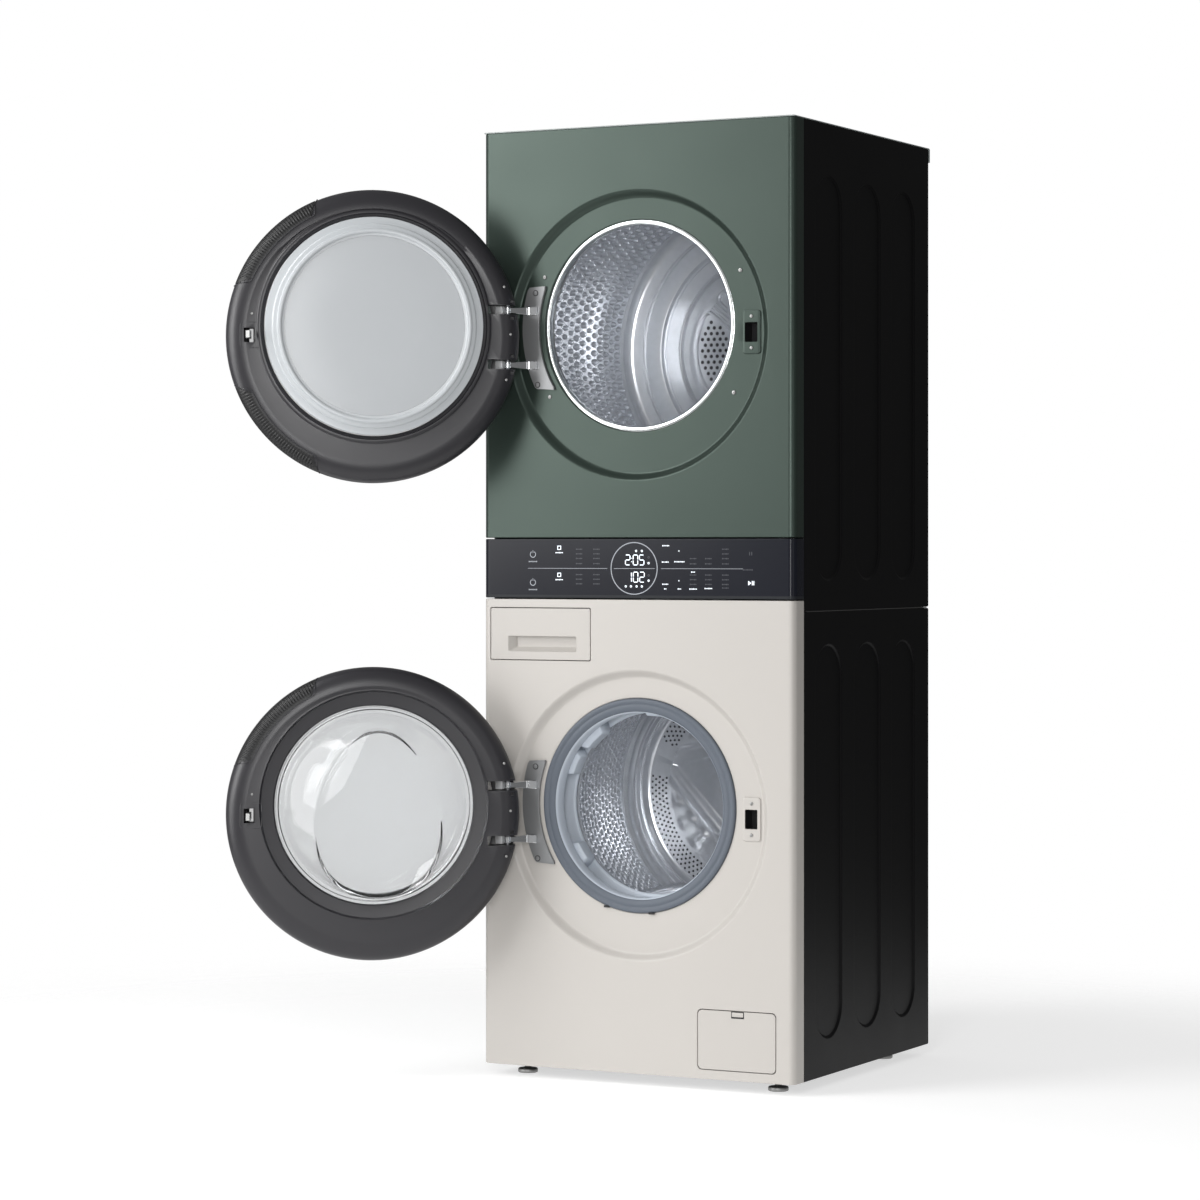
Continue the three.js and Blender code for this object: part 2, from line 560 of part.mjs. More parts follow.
const capAxis = [CAP.x, CAP.z];
add("drain_pump", join(
  rodY(CAP.radius + PUMP.body, [CAP.back + GAP, PUMP.back], capAxis, 24),
  box([CAP.x - PUMP.half, CAP.x + PUMP.half], [PUMP.front, PUMP.back], [frameTop, CAP.z]),
  rodY(PUMP.motor, [PUMP.back - 1, PUMP.motorBack], capAxis, 20),
), FINISH.moulded);

// The cap is cut away on both sides of its middle, which leaves a bar for the fingers to turn.
const gripY = [CAP.front - 1, CAP.front + CAP.gripDepth];
const gripZ = [CAP.z - CAP.radius / 2, CAP.z + CAP.radius / 2];
add("pump_filter_cap", cut(
  rodY(CAP.radius, [CAP.front, CAP.back], capAxis, 24),
  box([CAP.x - CAP.radius, CAP.x - CAP.gripHalf], gripY, gripZ),
  box([CAP.x + CAP.gripHalf, CAP.x + CAP.radius], gripY, gripZ),
), FINISH.paleGrey);
add("service_cover",
  slab(roundedRectangle([HATCH.left, HATCH.right], [HATCH.bottom, HATCH.top], HATCH.corner),
    [0, HATCH.sheet], 3), FINISH.beige);

const trayX = [DRAWER.left + 12, DRAWER.right - 12];
const trayZ = [DRAWER.bottom + 8, DRAWER.top - 14];
const drawerFront = cut(
  box([DRAWER.left, DRAWER.right], [0, DRAWER.front], [DRAWER.bottom, DRAWER.top]),
  box([HANDLE.left, HANDLE.right], [-1, HANDLE.depth], [HANDLE.bottom, HANDLE.top]),
);
const divider = (trayX[0] + trayX[1]) / 2 + 20;
add("detergent_drawer", join(
  drawerFront,
  shell(trayX, [DRAWER.front - 1, DRAWER.depth], trayZ, DRAWER.wall, "top"),
  box([divider, divider + DRAWER.wall], [DRAWER.front - 1, DRAWER.depth - 1], [trayZ[0] + 1, trayZ[1] - 8]),
), FINISH.beige);
const around = FIT + DRAWER.wall;
add("dispenser_housing", shell(
  [trayX[0] - around, trayX[1] + around], [DRAWER.front + 4, DRAWER.depth + around + 6],
  [trayZ[0] - around, trayZ[1] + around + 2], DRAWER.wall, "front",
), FINISH.moulded);

// ---- dryer --------------------------------------------------------------------------------------

const openingAxis = [0, DRYER_OPENING];
const dryerAxis = [0, DRYER.dish];
add("dryer_opening_ring", turnY([
  [DRYER.opening, 9], [DRYER.opening + DRYER.ring, 9.5], [DRYER.opening + DRYER.ring, BULKHEAD.front - GAP],
  [DRYER.opening, BULKHEAD.front - GAP],
], openingAxis), FINISH.chrome);

const filterFront = BULKHEAD.front + BULKHEAD.sheet + FILTER.front;
const filterY = [filterFront, filterFront + FILTER.thickness];
const filterTop = DRYER_OPENING - DRYER.opening + 2;
const filterPathHalf = FILTER.half + FILTER.side;
// Over the slot's width the opening's edge rises, so the slot goes up to where that edge leaves it.
const slotTop = DRYER_OPENING - Math.sqrt(DRYER.opening ** 2 - filterPathHalf ** 2) + 2;
const pocket = shell(
  [-FILTER.half - 3, FILTER.half + 3], [filterY[0] - 2.6, filterY[1] + 2],
  [FILTER.bottom - 3, filterTop - FILTER.pocket], FILTER.side, "top",
);
const filterSlot = box(
  [-filterPathHalf, filterPathHalf], [filterY[0] - 1, filterY[1] + 0.6],
  [FILTER.bottom - 1.6, slotTop],
);
add("dryer_front_bulkhead", cut(
  join(
    cut(
      box([-HALF + FLANGE + 4, HALF - FLANGE - 4], [BULKHEAD.front, BULKHEAD.front + BULKHEAD.sheet],
        [BULKHEAD.bottom, BULKHEAD.top]),
      rodY(DRYER.opening, [BULKHEAD.front - 1, BULKHEAD.front + 9], openingAxis),
      box([LATCH.x - 18, LATCH.x + 18], [BULKHEAD.front - 1, BULKHEAD.front + 9],
        [DRYER.dish - 40, DRYER.dish + 40]),
    ),
    turnY([
      [DRYER.opening, BULKHEAD.front + 1], [DRYER.opening + BULKHEAD.wall, BULKHEAD.front + 1],
      [DRYER.opening + BULKHEAD.wall, BULKHEAD.neck], [DRYER.opening, BULKHEAD.neck],
    ], openingAxis),
    pocket,
  ), filterSlot), FINISH.moulded);
const tongueY = [filterY[0] + 2, filterY[1] - 2];
const tongueZ = [filterTop - FILTER.tongue - 1, filterTop];
add("lint_filter", join(
  box([-FILTER.half, FILTER.half], filterY, [FILTER.bottom, filterTop - FILTER.tongue]),
  box([-FILTER.half / 2, FILTER.half / 2], tongueY, tongueZ),
), FINISH.charcoal);

const drumIn = DRYER_DRUM.radius - DRYER_DRUM.wall;
add("dryer_drum", turnY([
  [0, DRYER_DRUM.back - DRYER_DRUM.wall], [drumIn, DRYER_DRUM.back - DRYER_DRUM.wall],
  [drumIn, DRYER_DRUM.front + 9], [DRYER_DRUM.mouth + OFFSET, DRYER_DRUM.front + 4],
  [DRYER_DRUM.mouth + OFFSET, DRYER_DRUM.front], [DRYER_DRUM.radius, DRYER_DRUM.front + 5],
  [DRYER_DRUM.radius, DRYER_DRUM.back], [DRYER_DRUM.shaft, DRYER_DRUM.back],
  [DRYER_DRUM.shaft, REAR_DUCT.plate + 12], [0, REAR_DUCT.plate + 12],
], dryerAxis), FINISH.steel);

const rollerReach = DRYER_DRUM.radius + GAP + ROLLER.radius;
const rollerAt = (side) => {
  const a = THREE.MathUtils.degToRad(ROLLER.angle);
  return [side * rollerReach * Math.sin(a), DRYER.dish - rollerReach * Math.cos(a)];
};
// The rear plate stands on the deck; it holds the air duct, the drum's bearing and both roller axles.
const ductHalf = rollerAt(1)[0] + ROLLER.radius - 3;
const bearing = DRYER_DRUM.shaft + FIT;
const ductInside = REAR_DUCT.radius - REAR_DUCT.sheet;
const plateY = [REAR_DUCT.plate, REAR_DUCT.plate + REAR_DUCT.sheet];
const axles = [-1, 1].map((side) =>
  rodY(ROLLER.axle, [ROLLER.front - 4, REAR_DUCT.plate + 1], rollerAt(side), SMALL));
add("dryer_rear_duct", join(
  turnY([
    [bearing, plateY[0]], [ductInside, plateY[0]], [ductInside, REAR_DUCT.front],
    [REAR_DUCT.radius, REAR_DUCT.front], [REAR_DUCT.radius, plateY[1]], [bearing, plateY[1]],
  ], dryerAxis),
  ...axles,
  cut(
    box([-ductHalf, ductHalf], plateY, [DECK.top + GAP, DRYER.dish]),
    rodY(bearing, [plateY[0] - 1, plateY[1] + 1], dryerAxis),
  ),
), FINISH.zinc);
for (const [name, side] of [["left", -1], ["right", 1]]) {
  const width = [ROLLER.front, ROLLER.front + ROLLER.width];
  add(`${name}_drum_roller`, cut(
    rodY(ROLLER.radius, width, rollerAt(side), 24),
    rodY(ROLLER.axle + GAP, [width[0] - 1, width[1] + 1], rollerAt(side), SMALL),
  ), FINISH.belt);
}

// The loop that a belt makes round two pulleys: an arc round each, joined by the two tangents. Each arc
// is widened a little, so that its flat facets clear the pulley.
function beltLoop(Outline, big, small, grow) {
  const [dx, dz] = [small.x - big.x, small.z - big.z];
  const lean = Math.atan2(dz, dx);
  const spread = Math.acos((big.r - small.r) / Math.hypot(dx, dz));
  const clear = (arc) => 1 / Math.cos(arc / BELT.facets / 2);
  const bigR = (big.r + grow) * clear(2 * Math.PI - 2 * spread);
  const smallR = (small.r + grow) * clear(2 * spread);
  const loop = new Outline();
  loop.absarc(big.x, big.z, bigR, lean + spread, lean - spread + 2 * Math.PI, false);
  loop.absarc(small.x, small.z, smallR, lean - spread, lean + spread, false);
  loop.closePath();
  return loop;
}
const drumPulley = { x: 0, z: DRYER.dish, r: DRYER_DRUM.radius };
const motorPulley = { x: MOTOR.x, z: MOTOR.z, r: MOTOR.pulley };
const beltShape = beltLoop(THREE.Shape, drumPulley, motorPulley, GAP + BELT.thickness);
beltShape.holes.push(beltLoop(THREE.Path, drumPulley, motorPulley, GAP));
add("drive_belt", slab(beltShape, [BELT.front, BELT.front + BELT.width], BELT.facets / 2), FINISH.belt);

const motorAxis = [MOTOR.x, MOTOR.z];
add("dryer_motor", cut(
  join(
    rodY(MOTOR.radius, [MOTOR.front, MOTOR.back], motorAxis, 28),
    box([MOTOR.x - 30, MOTOR.x + 30], [MOTOR.front + 15, MOTOR.back - 15], [DECK.top + GAP, MOTOR.z]),
  ),
  rodY(MOTOR.shaft + GAP, [MOTOR.front - 1, MOTOR.back + 1], motorAxis, SMALL),
), FINISH.iron);
add("dryer_motor_shaft", join(
  rodY(MOTOR.shaft, [BELT.front - 6, FAN.back], motorAxis, SMALL),
  rodY(MOTOR.pulley, [BELT.front - 2, BELT.front + BELT.width + 2], motorAxis, 20),
), FINISH.steel);
const fanBlades = Array.from({ length: FAN.blades }, (_, i) => {
  const blade = new THREE.BoxGeometry(3, FAN.back - FAN.front - 4, FAN.radius - FAN.hub + 2);
  blade.translate(0, (FAN.front + FAN.back) / 2 + 1, (FAN.radius + FAN.hub) / 2 - 1);
  return solid(blade.rotateY((i * 2 * Math.PI) / FAN.blades).translate(MOTOR.x, 0, MOTOR.z));
});
add("blower_fan", cut(
  join(
    rodY(FAN.hub, [FAN.front, FAN.back], motorAxis, SMALL),
    rodY(FAN.radius, [FAN.front, FAN.front + 4], motorAxis, 24),
    ...fanBlades,
  ),
  rodY(MOTOR.shaft + GAP, [FAN.front - 1, FAN.back + 1], motorAxis, SMALL),
), FINISH.moulded);

const pump = COMPRESSOR;
add("heat_pump_compressor", join(
  rodZ(pump.radius, [DECK.top + pump.base, DECK.top + pump.height], [pump.x, pump.y], 24),
  box([pump.x - pump.half[0], pump.x + pump.half[0]], [pump.y - pump.half[1], pump.y + pump.half[1]],
    [DECK.top + GAP, DECK.top + pump.baseTop]),
), FINISH.iron);
add("heat_exchanger",
  box(EXCHANGER.x, EXCHANGER.y, [DECK.top + GAP, DECK.top + EXCHANGER.height]), FINISH.copper);

export default machine;
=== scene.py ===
# %% [markdown]
# # A stacked washer and dryer
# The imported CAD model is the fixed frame: it says where every piece sits and how it moves. This
# script dresses it. Sheet metal, doors, drums and rubber get fine surfaces, and every finish is
# made of nodes.

# %% Load the frame
import json
import math

import bmesh
import bpy
from mathutils import Matrix, Vector

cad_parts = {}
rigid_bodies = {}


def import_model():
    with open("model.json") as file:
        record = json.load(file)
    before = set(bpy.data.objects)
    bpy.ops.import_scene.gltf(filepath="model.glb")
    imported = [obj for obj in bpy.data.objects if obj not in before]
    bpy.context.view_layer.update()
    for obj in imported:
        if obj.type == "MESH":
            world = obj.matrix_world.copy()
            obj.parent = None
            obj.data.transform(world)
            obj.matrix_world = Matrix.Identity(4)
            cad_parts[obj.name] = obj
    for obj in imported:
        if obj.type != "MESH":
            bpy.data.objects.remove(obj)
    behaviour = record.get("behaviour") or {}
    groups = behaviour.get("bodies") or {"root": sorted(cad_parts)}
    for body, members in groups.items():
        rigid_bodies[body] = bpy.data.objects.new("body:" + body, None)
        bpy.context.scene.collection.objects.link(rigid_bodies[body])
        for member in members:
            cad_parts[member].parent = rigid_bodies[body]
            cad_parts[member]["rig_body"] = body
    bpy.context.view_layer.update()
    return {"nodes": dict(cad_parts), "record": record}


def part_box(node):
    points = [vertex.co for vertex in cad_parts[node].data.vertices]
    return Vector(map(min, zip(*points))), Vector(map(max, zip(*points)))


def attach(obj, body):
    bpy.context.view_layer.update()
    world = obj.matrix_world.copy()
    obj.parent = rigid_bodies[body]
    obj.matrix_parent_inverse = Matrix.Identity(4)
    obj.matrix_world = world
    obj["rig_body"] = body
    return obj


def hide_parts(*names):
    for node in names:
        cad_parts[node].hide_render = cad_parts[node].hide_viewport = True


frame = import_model()
joints = {joint["name"]: joint for joint in frame["record"]["behaviour"]["joints"]}

# %% [markdown]
# ## Shader maths
# A finish is a small sum of patterns. Writing that sum as Python keeps it readable, so `Value`
# wraps a socket and overloads the operators: each one adds a Math node. `Finish` holds the
# material, and its one method makes any other node from a type, its settings and the values or
# links of its sockets.

# %% Value and Finish
class Value:
    """A socket that can be added to, multiplied and compared, as a number can."""

    def __init__(self, finish, socket):
        self.finish = finish
        self.socket = socket

    def math(self, operation, other):
        return self.finish.node("ShaderNodeMath", {"operation": operation}, {0: self, 1: other})

    def __add__(self, other):
        return self.math("ADD", other)

    def __mul__(self, other):
        return self.math("MULTIPLY", other)

    def below(self, limit):
        return self.math("LESS_THAN", limit)

    __radd__ = __add__
    __rmul__ = __mul__


class Finish:
    def __init__(self, name):
        self.material = bpy.data.materials.new(name)
        self.material.use_nodes = True
        self.tree = self.material.node_tree
        self.shader = self.tree.nodes["Principled BSDF"]

    def node(self, kind, settings, sockets, output=0):
        made = self.tree.nodes.new(kind)
        for key, value in settings.items():
            if key == "stops":
                for stop, (place, colour) in zip(made.color_ramp.elements, value):
                    stop.position = place
                    stop.color = colour
            else:
                setattr(made, key, value)
        for key, value in sockets.items():
            self.feed(made.inputs[key], value)
        return Value(self, made.outputs[output])

    def feed(self, socket, value):
        if isinstance(value, Value):
            self.tree.links.new(value.socket, socket)
        else:
            socket.default_value = value

    def set(self, **sockets):
        for key, value in sockets.items():
            self.feed(self.shader.inputs[key.replace("_", " ")], value)
        return self

    def place(self):
        return self.node("ShaderNodeTexCoord", {}, {}, "Object")

    def noise(self, scale, detail=2.0, stretch=(1, 1, 1)):
        mapped = self.node("ShaderNodeMapping", {}, {"Vector": self.place(), "Scale": stretch})
        return self.node(
            "ShaderNodeTexNoise", {}, {"Vector": mapped, "Scale": scale, "Detail": detail}
        )

    def blend(self, amount, first, second):
        return self.node(
            "ShaderNodeMix", {"data_type": "RGBA"}, {"Factor": amount, "A": first, "B": second},
            "Result"
        )

    def bump(self, height, distance):
        return self.node("ShaderNodeBump", {}, {"Height": height, "Distance": distance}, "Normal")


def rgb(red, green, blue):
    """A colour given as 0 to 255 steps on a screen, as the linear light a shader wants."""
    def linear(step):
        part = step / 255
        return part / 12.92 if part <= 0.04045 else ((part + 0.055) / 1.055) ** 2.4
    return (linear(red), linear(green), linear(blue), 1.0)


def darkened(colour, share):
    return (*(channel * share for channel in colour[:3]), 1.0)


# %% [markdown]
# ## Finishes
# Enamel on pressed steel is a satin coat with faint orange peel. Moulded plastic has a finer,
# even grain. Both could be a flat colour, but then a large panel looks like paper, so a slow
# noise shifts the tone a little and a quick one lifts the surface by a few hundredths of a
# millimetre.

# %% Painted and moulded finishes
def coated(
    name, colour, roughness, grain_scale, grain_height, coat=0.0, tone=0.06, metallic=0.0, gloss=0.5
):
    """Paint or plastic: tone is how far the slow noise darkens it, grain the fine relief."""
    finish = Finish(name)
    slow = finish.noise(2.2, 3.0)
    quick = finish.noise(grain_scale, 1.0)
    return finish.set(
        Base_Color=finish.blend(slow, darkened(colour, 1 - tone), colour),
        Roughness=finish.noise(9.0, 3.0) * 0.08 + (roughness - 0.04),
        Normal=finish.bump(quick, grain_height),
        Coat_Weight=coat,
        Coat_Roughness=0.2,
        Metallic=metallic,
        Specular_IOR_Level=gloss,
    ).material


green_enamel = coated("green_enamel", rgb(54, 66, 60), 0.36, 900, 0.00004, 0.0, 0.06, 0.55)
beige_enamel = coated("beige_enamel", rgb(184, 180, 175), 0.42, 900, 0.00003, 0.0, 0.02)
beige_plastic = coated("beige_plastic", rgb(183, 179, 174), 0.45, 2500, 0.00002, 0.0, 0.02)
black_enamel = coated("black_enamel", rgb(9, 9, 10), 0.46, 700, 0.00008, 0.0, 0.15, gloss=0.15)
# Pale grey: a painted highlight, so that the lid's front edge reads as a light line.
lid_enamel = coated("lid_enamel", rgb(150, 158, 156), 0.35, 700, 0.00004, 0.1)
charcoal_plastic = coated("charcoal_plastic", rgb(38, 37, 41), 0.36, 2200, 0.00003, 0.05)
rim_plastic = coated("rim_plastic", rgb(58, 58, 61), 0.26, 2200, 0.00002, 0.2)
grip_plastic = coated("grip_plastic", rgb(14, 14, 15), 0.45, 2200, 0.00003)
# Dark plastic, also used as painted shade: for the dark sheets behind perforated rear walls, the
# washer drum's drain holes, the countersinks and the service cover's pocket.
dark_plastic = coated("dark_plastic", rgb(22, 22, 24), 0.5, 2200, 0.00004)
grey_plastic = coated("grey_plastic", rgb(196, 198, 198), 0.5, 1600, 0.00004)
pale_plastic = coated("pale_plastic", rgb(186, 190, 193), 0.3, 2200, 0.00001, 0.3, 0.02)
# One rubber in two copies: the pale one is painted light, for the faces of the gasket that turn to
# the light, and the slate one is painted shade, for the faces that turn away.
gasket_rubber = coated("gasket_rubber", rgb(200, 208, 218), 0.5, 1500, 0.00005, 0.0, 0.1)
gasket_shade = coated("gasket_shade", rgb(88, 95, 105), 0.55, 1500, 0.00005, 0.0, 0.1)
belt_rubber = coated("belt_rubber", rgb(26, 26, 26), 0.7, 1200, 0.0001)
motor_paint = coated("motor_paint", rgb(70, 73, 77), 0.5, 800, 0.0001)
plate_grey = coated("plate_grey", rgb(140, 141, 142), 0.38, 900, 0.00003, 0.0, 0.08, 0.5)
# Near white: a painted reflection, in place of the bright room that the plated knuckles mirror.
knuckle_plate = coated("knuckle_plate", rgb(236, 237, 238), 0.3, 900, 0.00001, 0.2, 0.02, 0.2)

# %% The glass of the control panel
STRIP_TOP = 0.8435  # height of the grey strip's upper edge


def panel_glass():
    """Blue-black glass with a grey strip along its lower edge."""
    finish = Finish("panel_gloss")
    height = finish.node("ShaderNodeSeparateXYZ", {}, {"Vector": finish.place()}, "Z")
    strip = height.below(STRIP_TOP)
    clouds = finish.noise(3.0, 2.0)
    glass = finish.blend(clouds, rgb(24, 25, 31), rgb(27, 29, 37))
    return finish.set(
        Base_Color=finish.blend(strip, glass, rgb(38, 40, 43)),
        Roughness=clouds * 0.04 + 0.16 + strip * 0.2,
        Specular_IOR_Level=0.16,
    ).material


panel_gloss = panel_glass()

# %% [markdown]
# Metals mirror the room, so their finish is all in the roughness. Rolled drum steel is streaked
# round the drum, plated parts are nearly clean, and zinc is cloudy, because its crystals differ
# in gloss.

# %% Metal finishes
def metal(
    name, colour, roughness, streak=(1, 1, 1), scale=60.0, spread=0.12, height=0.00001, metallic=1.0
):
    """Bare metal: streak stretches its noise, spread is how far the roughness varies."""
    finish = Finish(name)
    lines = finish.noise(scale, 4.0, streak)
    return finish.set(
        Base_Color=finish.blend(lines, darkened(colour, 0.86), colour),
        Metallic=metallic,
        Roughness=lines * spread + (roughness - spread / 2),
        Normal=finish.bump(lines, height),
    ).material


chrome = metal("chrome", rgb(226, 228, 230), 0.10, spread=0.05)
drum_steel = metal("drum_steel", rgb(236, 239, 244), 0.24, (1, 0.15, 1), 90.0, metallic=0.7)
ring_steel = metal("ring_steel", rgb(232, 236, 236), 0.22, (1, 8, 1), 60.0)
zinc = metal("zinc", rgb(158, 158, 157), 0.42, scale=140.0, spread=0.2, height=0.00003)
shaft_steel = metal("shaft_steel", rgb(150, 152, 156), 0.3, (1, 12, 1))
bare_aluminium = metal("bare_aluminium", rgb(176, 178, 180), 0.4, scale=120.0)


# %% [markdown]
# The door panes are seen through, so they could be refracting glass. Flat panes only tint what
# lies behind them, and a see-through coat does that without noise. The bowl is thick and curved,
# and its bright rims come from refraction, so it gets true transmission.

# %% Glass finishes
def pane(name, colour, alpha, roughness=0.06):
    finish = Finish(name)
    clouds = finish.noise(5.0, 3.0)
    return finish.set(
        Base_Color=finish.blend(clouds, darkened(colour, 0.95), colour),
        Roughness=clouds * 0.03 + roughness,
        Alpha=alpha,
    ).material


def clear_glass(name, tint, roughness):
    finish = Finish(name)
    clouds = finish.noise(4.0, 2.0)
    return finish.set(
        Base_Color=tint, Roughness=clouds * 0.02 + roughness, Transmission_Weight=1.0, IOR=1.28
    ).material


outer_pane = pane("outer_pane", rgb(140, 144, 148), 0.26)
disc_pane = pane("disc_pane", rgb(188, 193, 197), 0.45, 0.2)
bowl_glass = clear_glass("bowl_glass", (0.97, 0.98, 0.985, 1.0), 0.02)

# %% [markdown]
# The display's digits give light of their own. The printed marks beside it only catch light, and
# a little emission keeps them readable on the dark glass, so one recipe serves them all.

# %% Lit and printed marks
def glowing(name, colour, strength):
    finish = Finish(name)
    spots = finish.noise(700.0, 1.0)
    return finish.set(
        Base_Color=colour, Emission_Color=finish.blend(spots, colour, (1, 1, 1, 1)),
        Emission_Strength=strength, Roughness=0.4,
    ).material


display_light = glowing("display_light", rgb(214, 222, 232), 0.9)
mark_print = glowing("mark_print", rgb(124, 129, 138), 0.35)
faint_print = glowing("faint_print", rgb(44, 47, 56), 0.05)
print(len(bpy.data.materials), "materials so far")

# %% [markdown]
# ## Mesh helpers
# Every piece is made in place, in metres, with its object at the origin. A `Builder` collects
# rings of points and bridges them: rings suit this machine, whose fronts, doors, drums and rubber
# are all round. Shading is smooth except across edges sharper than the given angle.

# %% Builder
ROUND = 192  # points round a large circle
TO_FRONT = (0, -1, 0)
UP = (0, 0, 1)


class Builder:
    def __init__(self):
        self.bm = bmesh.new()

    def ring(self, points):
        return [self.bm.verts.new(point) for point in points]

    def bridge(self, first, second, closed=True):
        count = len(first)
        for i in range(count if closed else count - 1):
            j = (i + 1) % count
            self.bm.faces.new((first[i], first[j], second[j], second[i]))

    def loft(self, rings, closed=True):
        made = [self.ring(points) for points in rings]
        for first, second in zip(made, made[1:]):
            self.bridge(first, second, closed)
        return made

    def band(self, rings):
        """A loft whose last ring joins its first, as in a turned ring."""
        made = self.loft(rings)
        self.bridge(made[-1], made[0])
        return made

    def bar(self, rings):
        """A loft closed by a flat face at both ends."""
        made = self.loft(rings)
        self.cap(made[0])
        self.cap(made[-1])

    def cap(self, ring):
        self.bm.faces.new(ring)

    def fan(self, ring, point):
        middle = self.bm.verts.new(point)
        for i, vert in enumerate(ring):
            self.bm.faces.new((vert, ring[(i + 1) % len(ring)], middle))

    def fill_flat(self, rings, normal=TO_FRONT):
        """Fills the flat area between an outline and the holes in it."""
        edges = []
        for ring in rings:
            for i, vert in enumerate(ring):
                pair = (vert, ring[(i + 1) % len(ring)])
                edges.append(self.bm.edges.get(pair) or self.bm.edges.new(pair))
        bmesh.ops.triangle_fill(self.bm, use_beauty=True, edges=edges, normal=Vector(normal))

    def box(self, low, high):
        size = [b - a for a, b in zip(low, high)]
        middle = Vector([(a + b) / 2 for a, b in zip(low, high)])
        place = Matrix.Translation(middle) @ Matrix.Diagonal((*size, 1))
        return bmesh.ops.create_cube(self.bm, size=1, matrix=place)["verts"]

    def mesh(self, name, outward=True, weld=0.000005):
        bmesh.ops.remove_doubles(self.bm, verts=self.bm.verts, dist=weld)
        if outward:
            bmesh.ops.recalc_face_normals(self.bm, faces=self.bm.faces)
        data = bpy.data.meshes.new(name)
        self.bm.to_mesh(data)
        self.bm.free()
        return data


def piece(name, shape, materials, body, replaces=(), smooth=32, turn=None):
    """Makes an object of a mesh or a Builder, finishes it, and lets it ride on its body."""
    data = shape.mesh(name) if isinstance(shape, Builder) else shape
    if turn is not None:
        data.transform(turn)
    made = bpy.data.objects.new(name, data)
    bpy.context.scene.collection.objects.link(made)
    for material in materials if isinstance(materials, list) else [materials]:
        data.materials.append(material)
    data.polygons.foreach_set("use_smooth", [True] * len(data.polygons))
    data.set_sharp_from_angle(angle=math.radians(smooth))
    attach(made, body)
    if replaces:
        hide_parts(*replaces)
    return made


def thicken(made, depth):
    """Gives a sheet its thickness, inwards from the face that points outwards."""
    wall = made.modifiers.new("thickness", "SOLIDIFY")
    wall.thickness = depth
    wall.offset = -1
    return level_shading(made)


def level_shading(made):
    """Makes large flat faces set the shading at their edges, so that they look flat."""
    weights = made.modifiers.new("level_shading", "WEIGHTED_NORMAL")
    weights.keep_sharp = True
    weights.weight = 100
    return made


def face_towards(made, aim, rank=lambda face: face.area):
    """Turns an open sheet round if its first face by rank, the widest, looks away from aim."""
    first = max(made.data.polygons, key=rank)
    if first.normal.dot(Vector(aim)) < 0:
        made.data.flip_normals()


def ease(share):
    """0 to 1 along a half wave."""
    return (1 - math.cos(math.pi * share)) / 2


def smooth_step(share):
    return share * share * (3 - 2 * share)


def round_points(radius, count=ROUND, start=0.0):
    """(u, v) points round a circle about the origin."""
    turns = [start + 2 * math.pi * i / count for i in range(count)]
    return [(radius * math.cos(a), radius * math.sin(a)) for a in turns]


def circle_at(centre, radius, y, count=ROUND):
    """Points round a circle that faces the front, at depth y."""
    return [Vector((centre[0] + u, y, centre[1] + v)) for u, v in round_points(radius, count)]


def level_circle(centre, radius, z, count, start=0.0):
    """Points round a circle that lies flat, at height z."""
    return [
        Vector((centre[0] + u, centre[1] + v, z))
        for u, v in round_points(radius, count, start)
    ]


def arc_profile(centre, radius, start, end, steps):
    """(u, v) points on an arc, angles in degrees."""
    turns = [math.radians(start + (end - start) * i / steps) for i in range(steps + 1)]
    return [(centre[0] + radius * math.cos(a), centre[1] + radius * math.sin(a)) for a in turns]


def turned(profile, centre, count=ROUND):
    """Rings for a profile of (radius, y) turned about the front-to-back line through centre."""
    return [circle_at(centre, radius, y, count) for radius, y in profile]


def rounded_box_loop(low, high, radius, y, per_corner=8):
    """A rounded rectangle that faces the front: low and high are (x, z) corners."""
    corners = [
        ((high[0] - radius, high[1] - radius), 0),
        ((low[0] + radius, high[1] - radius), 90),
        ((low[0] + radius, low[1] + radius), 180),
        ((high[0] - radius, low[1] + radius), 270),
    ]
    points = []
    for centre, start in corners:
        points += arc_profile(centre, radius, start, start + 90, per_corner)
    return [Vector((x, y, z)) for x, z in points]


# %% [markdown]
# ## Floor, light and camera
# A plain pale floor fades into a white surround, so that no horizon shows. The camera sees white,
# but the machine mirrors a dimmer studio that is bright at the front left, which keeps the black
# sides black. A tall soft light close to the doors gives the enamel its fall-off from left to
# right.

# %% Stage
FADE_START, FADE_END = 1.1, 2.2
FLOOR_REACH = 3.0
ROOM_BRIGHT_SIDE = (-0.45, -0.75, 0.48)  # towards the lit side of the studio
ROOM_DARK, ROOM_BRIGHT = 0.08, 0.55
CAMERA_PLACE = (2.867, -5.645, 0.9246)
CAMERA_TURN = math.radians(27.48)
CAMERA_LENS, CAMERA_SENSOR, CAMERA_SHIFT = 110.37, 36.0, -0.0431


def floor_finish():
    """Pale paper that fades out round the machine, so that no horizon shows."""
    finish = Finish("floor_paper")
    place = finish.place()
    flat = finish.node(
        "ShaderNodeVectorMath", {"operation": "MULTIPLY"}, {0: place, 1: (1.0, 1.0, 0.0)}
    )
    far = finish.node("ShaderNodeVectorMath", {"operation": "LENGTH"}, {0: flat}, "Value")
    fade = finish.node(
        "ShaderNodeMapRange", {"interpolation_type": "SMOOTHSTEP"},
        {"Value": far, "From Min": FADE_START, "From Max": FADE_END, "To Min": 1.0, "To Max": 0.0},
        "Result"
    )
    grain = finish.noise(60.0, 2.0)
    return finish.set(
        Base_Color=finish.blend(grain, (0.55, 0.55, 0.55, 1.0), (0.60, 0.60, 0.60, 1.0)),
        Roughness=0.9, Alpha=fade, Emission_Color=(1, 1, 1, 1), Emission_Strength=0.62,
        Specular_IOR_Level=0.1,
    ).material


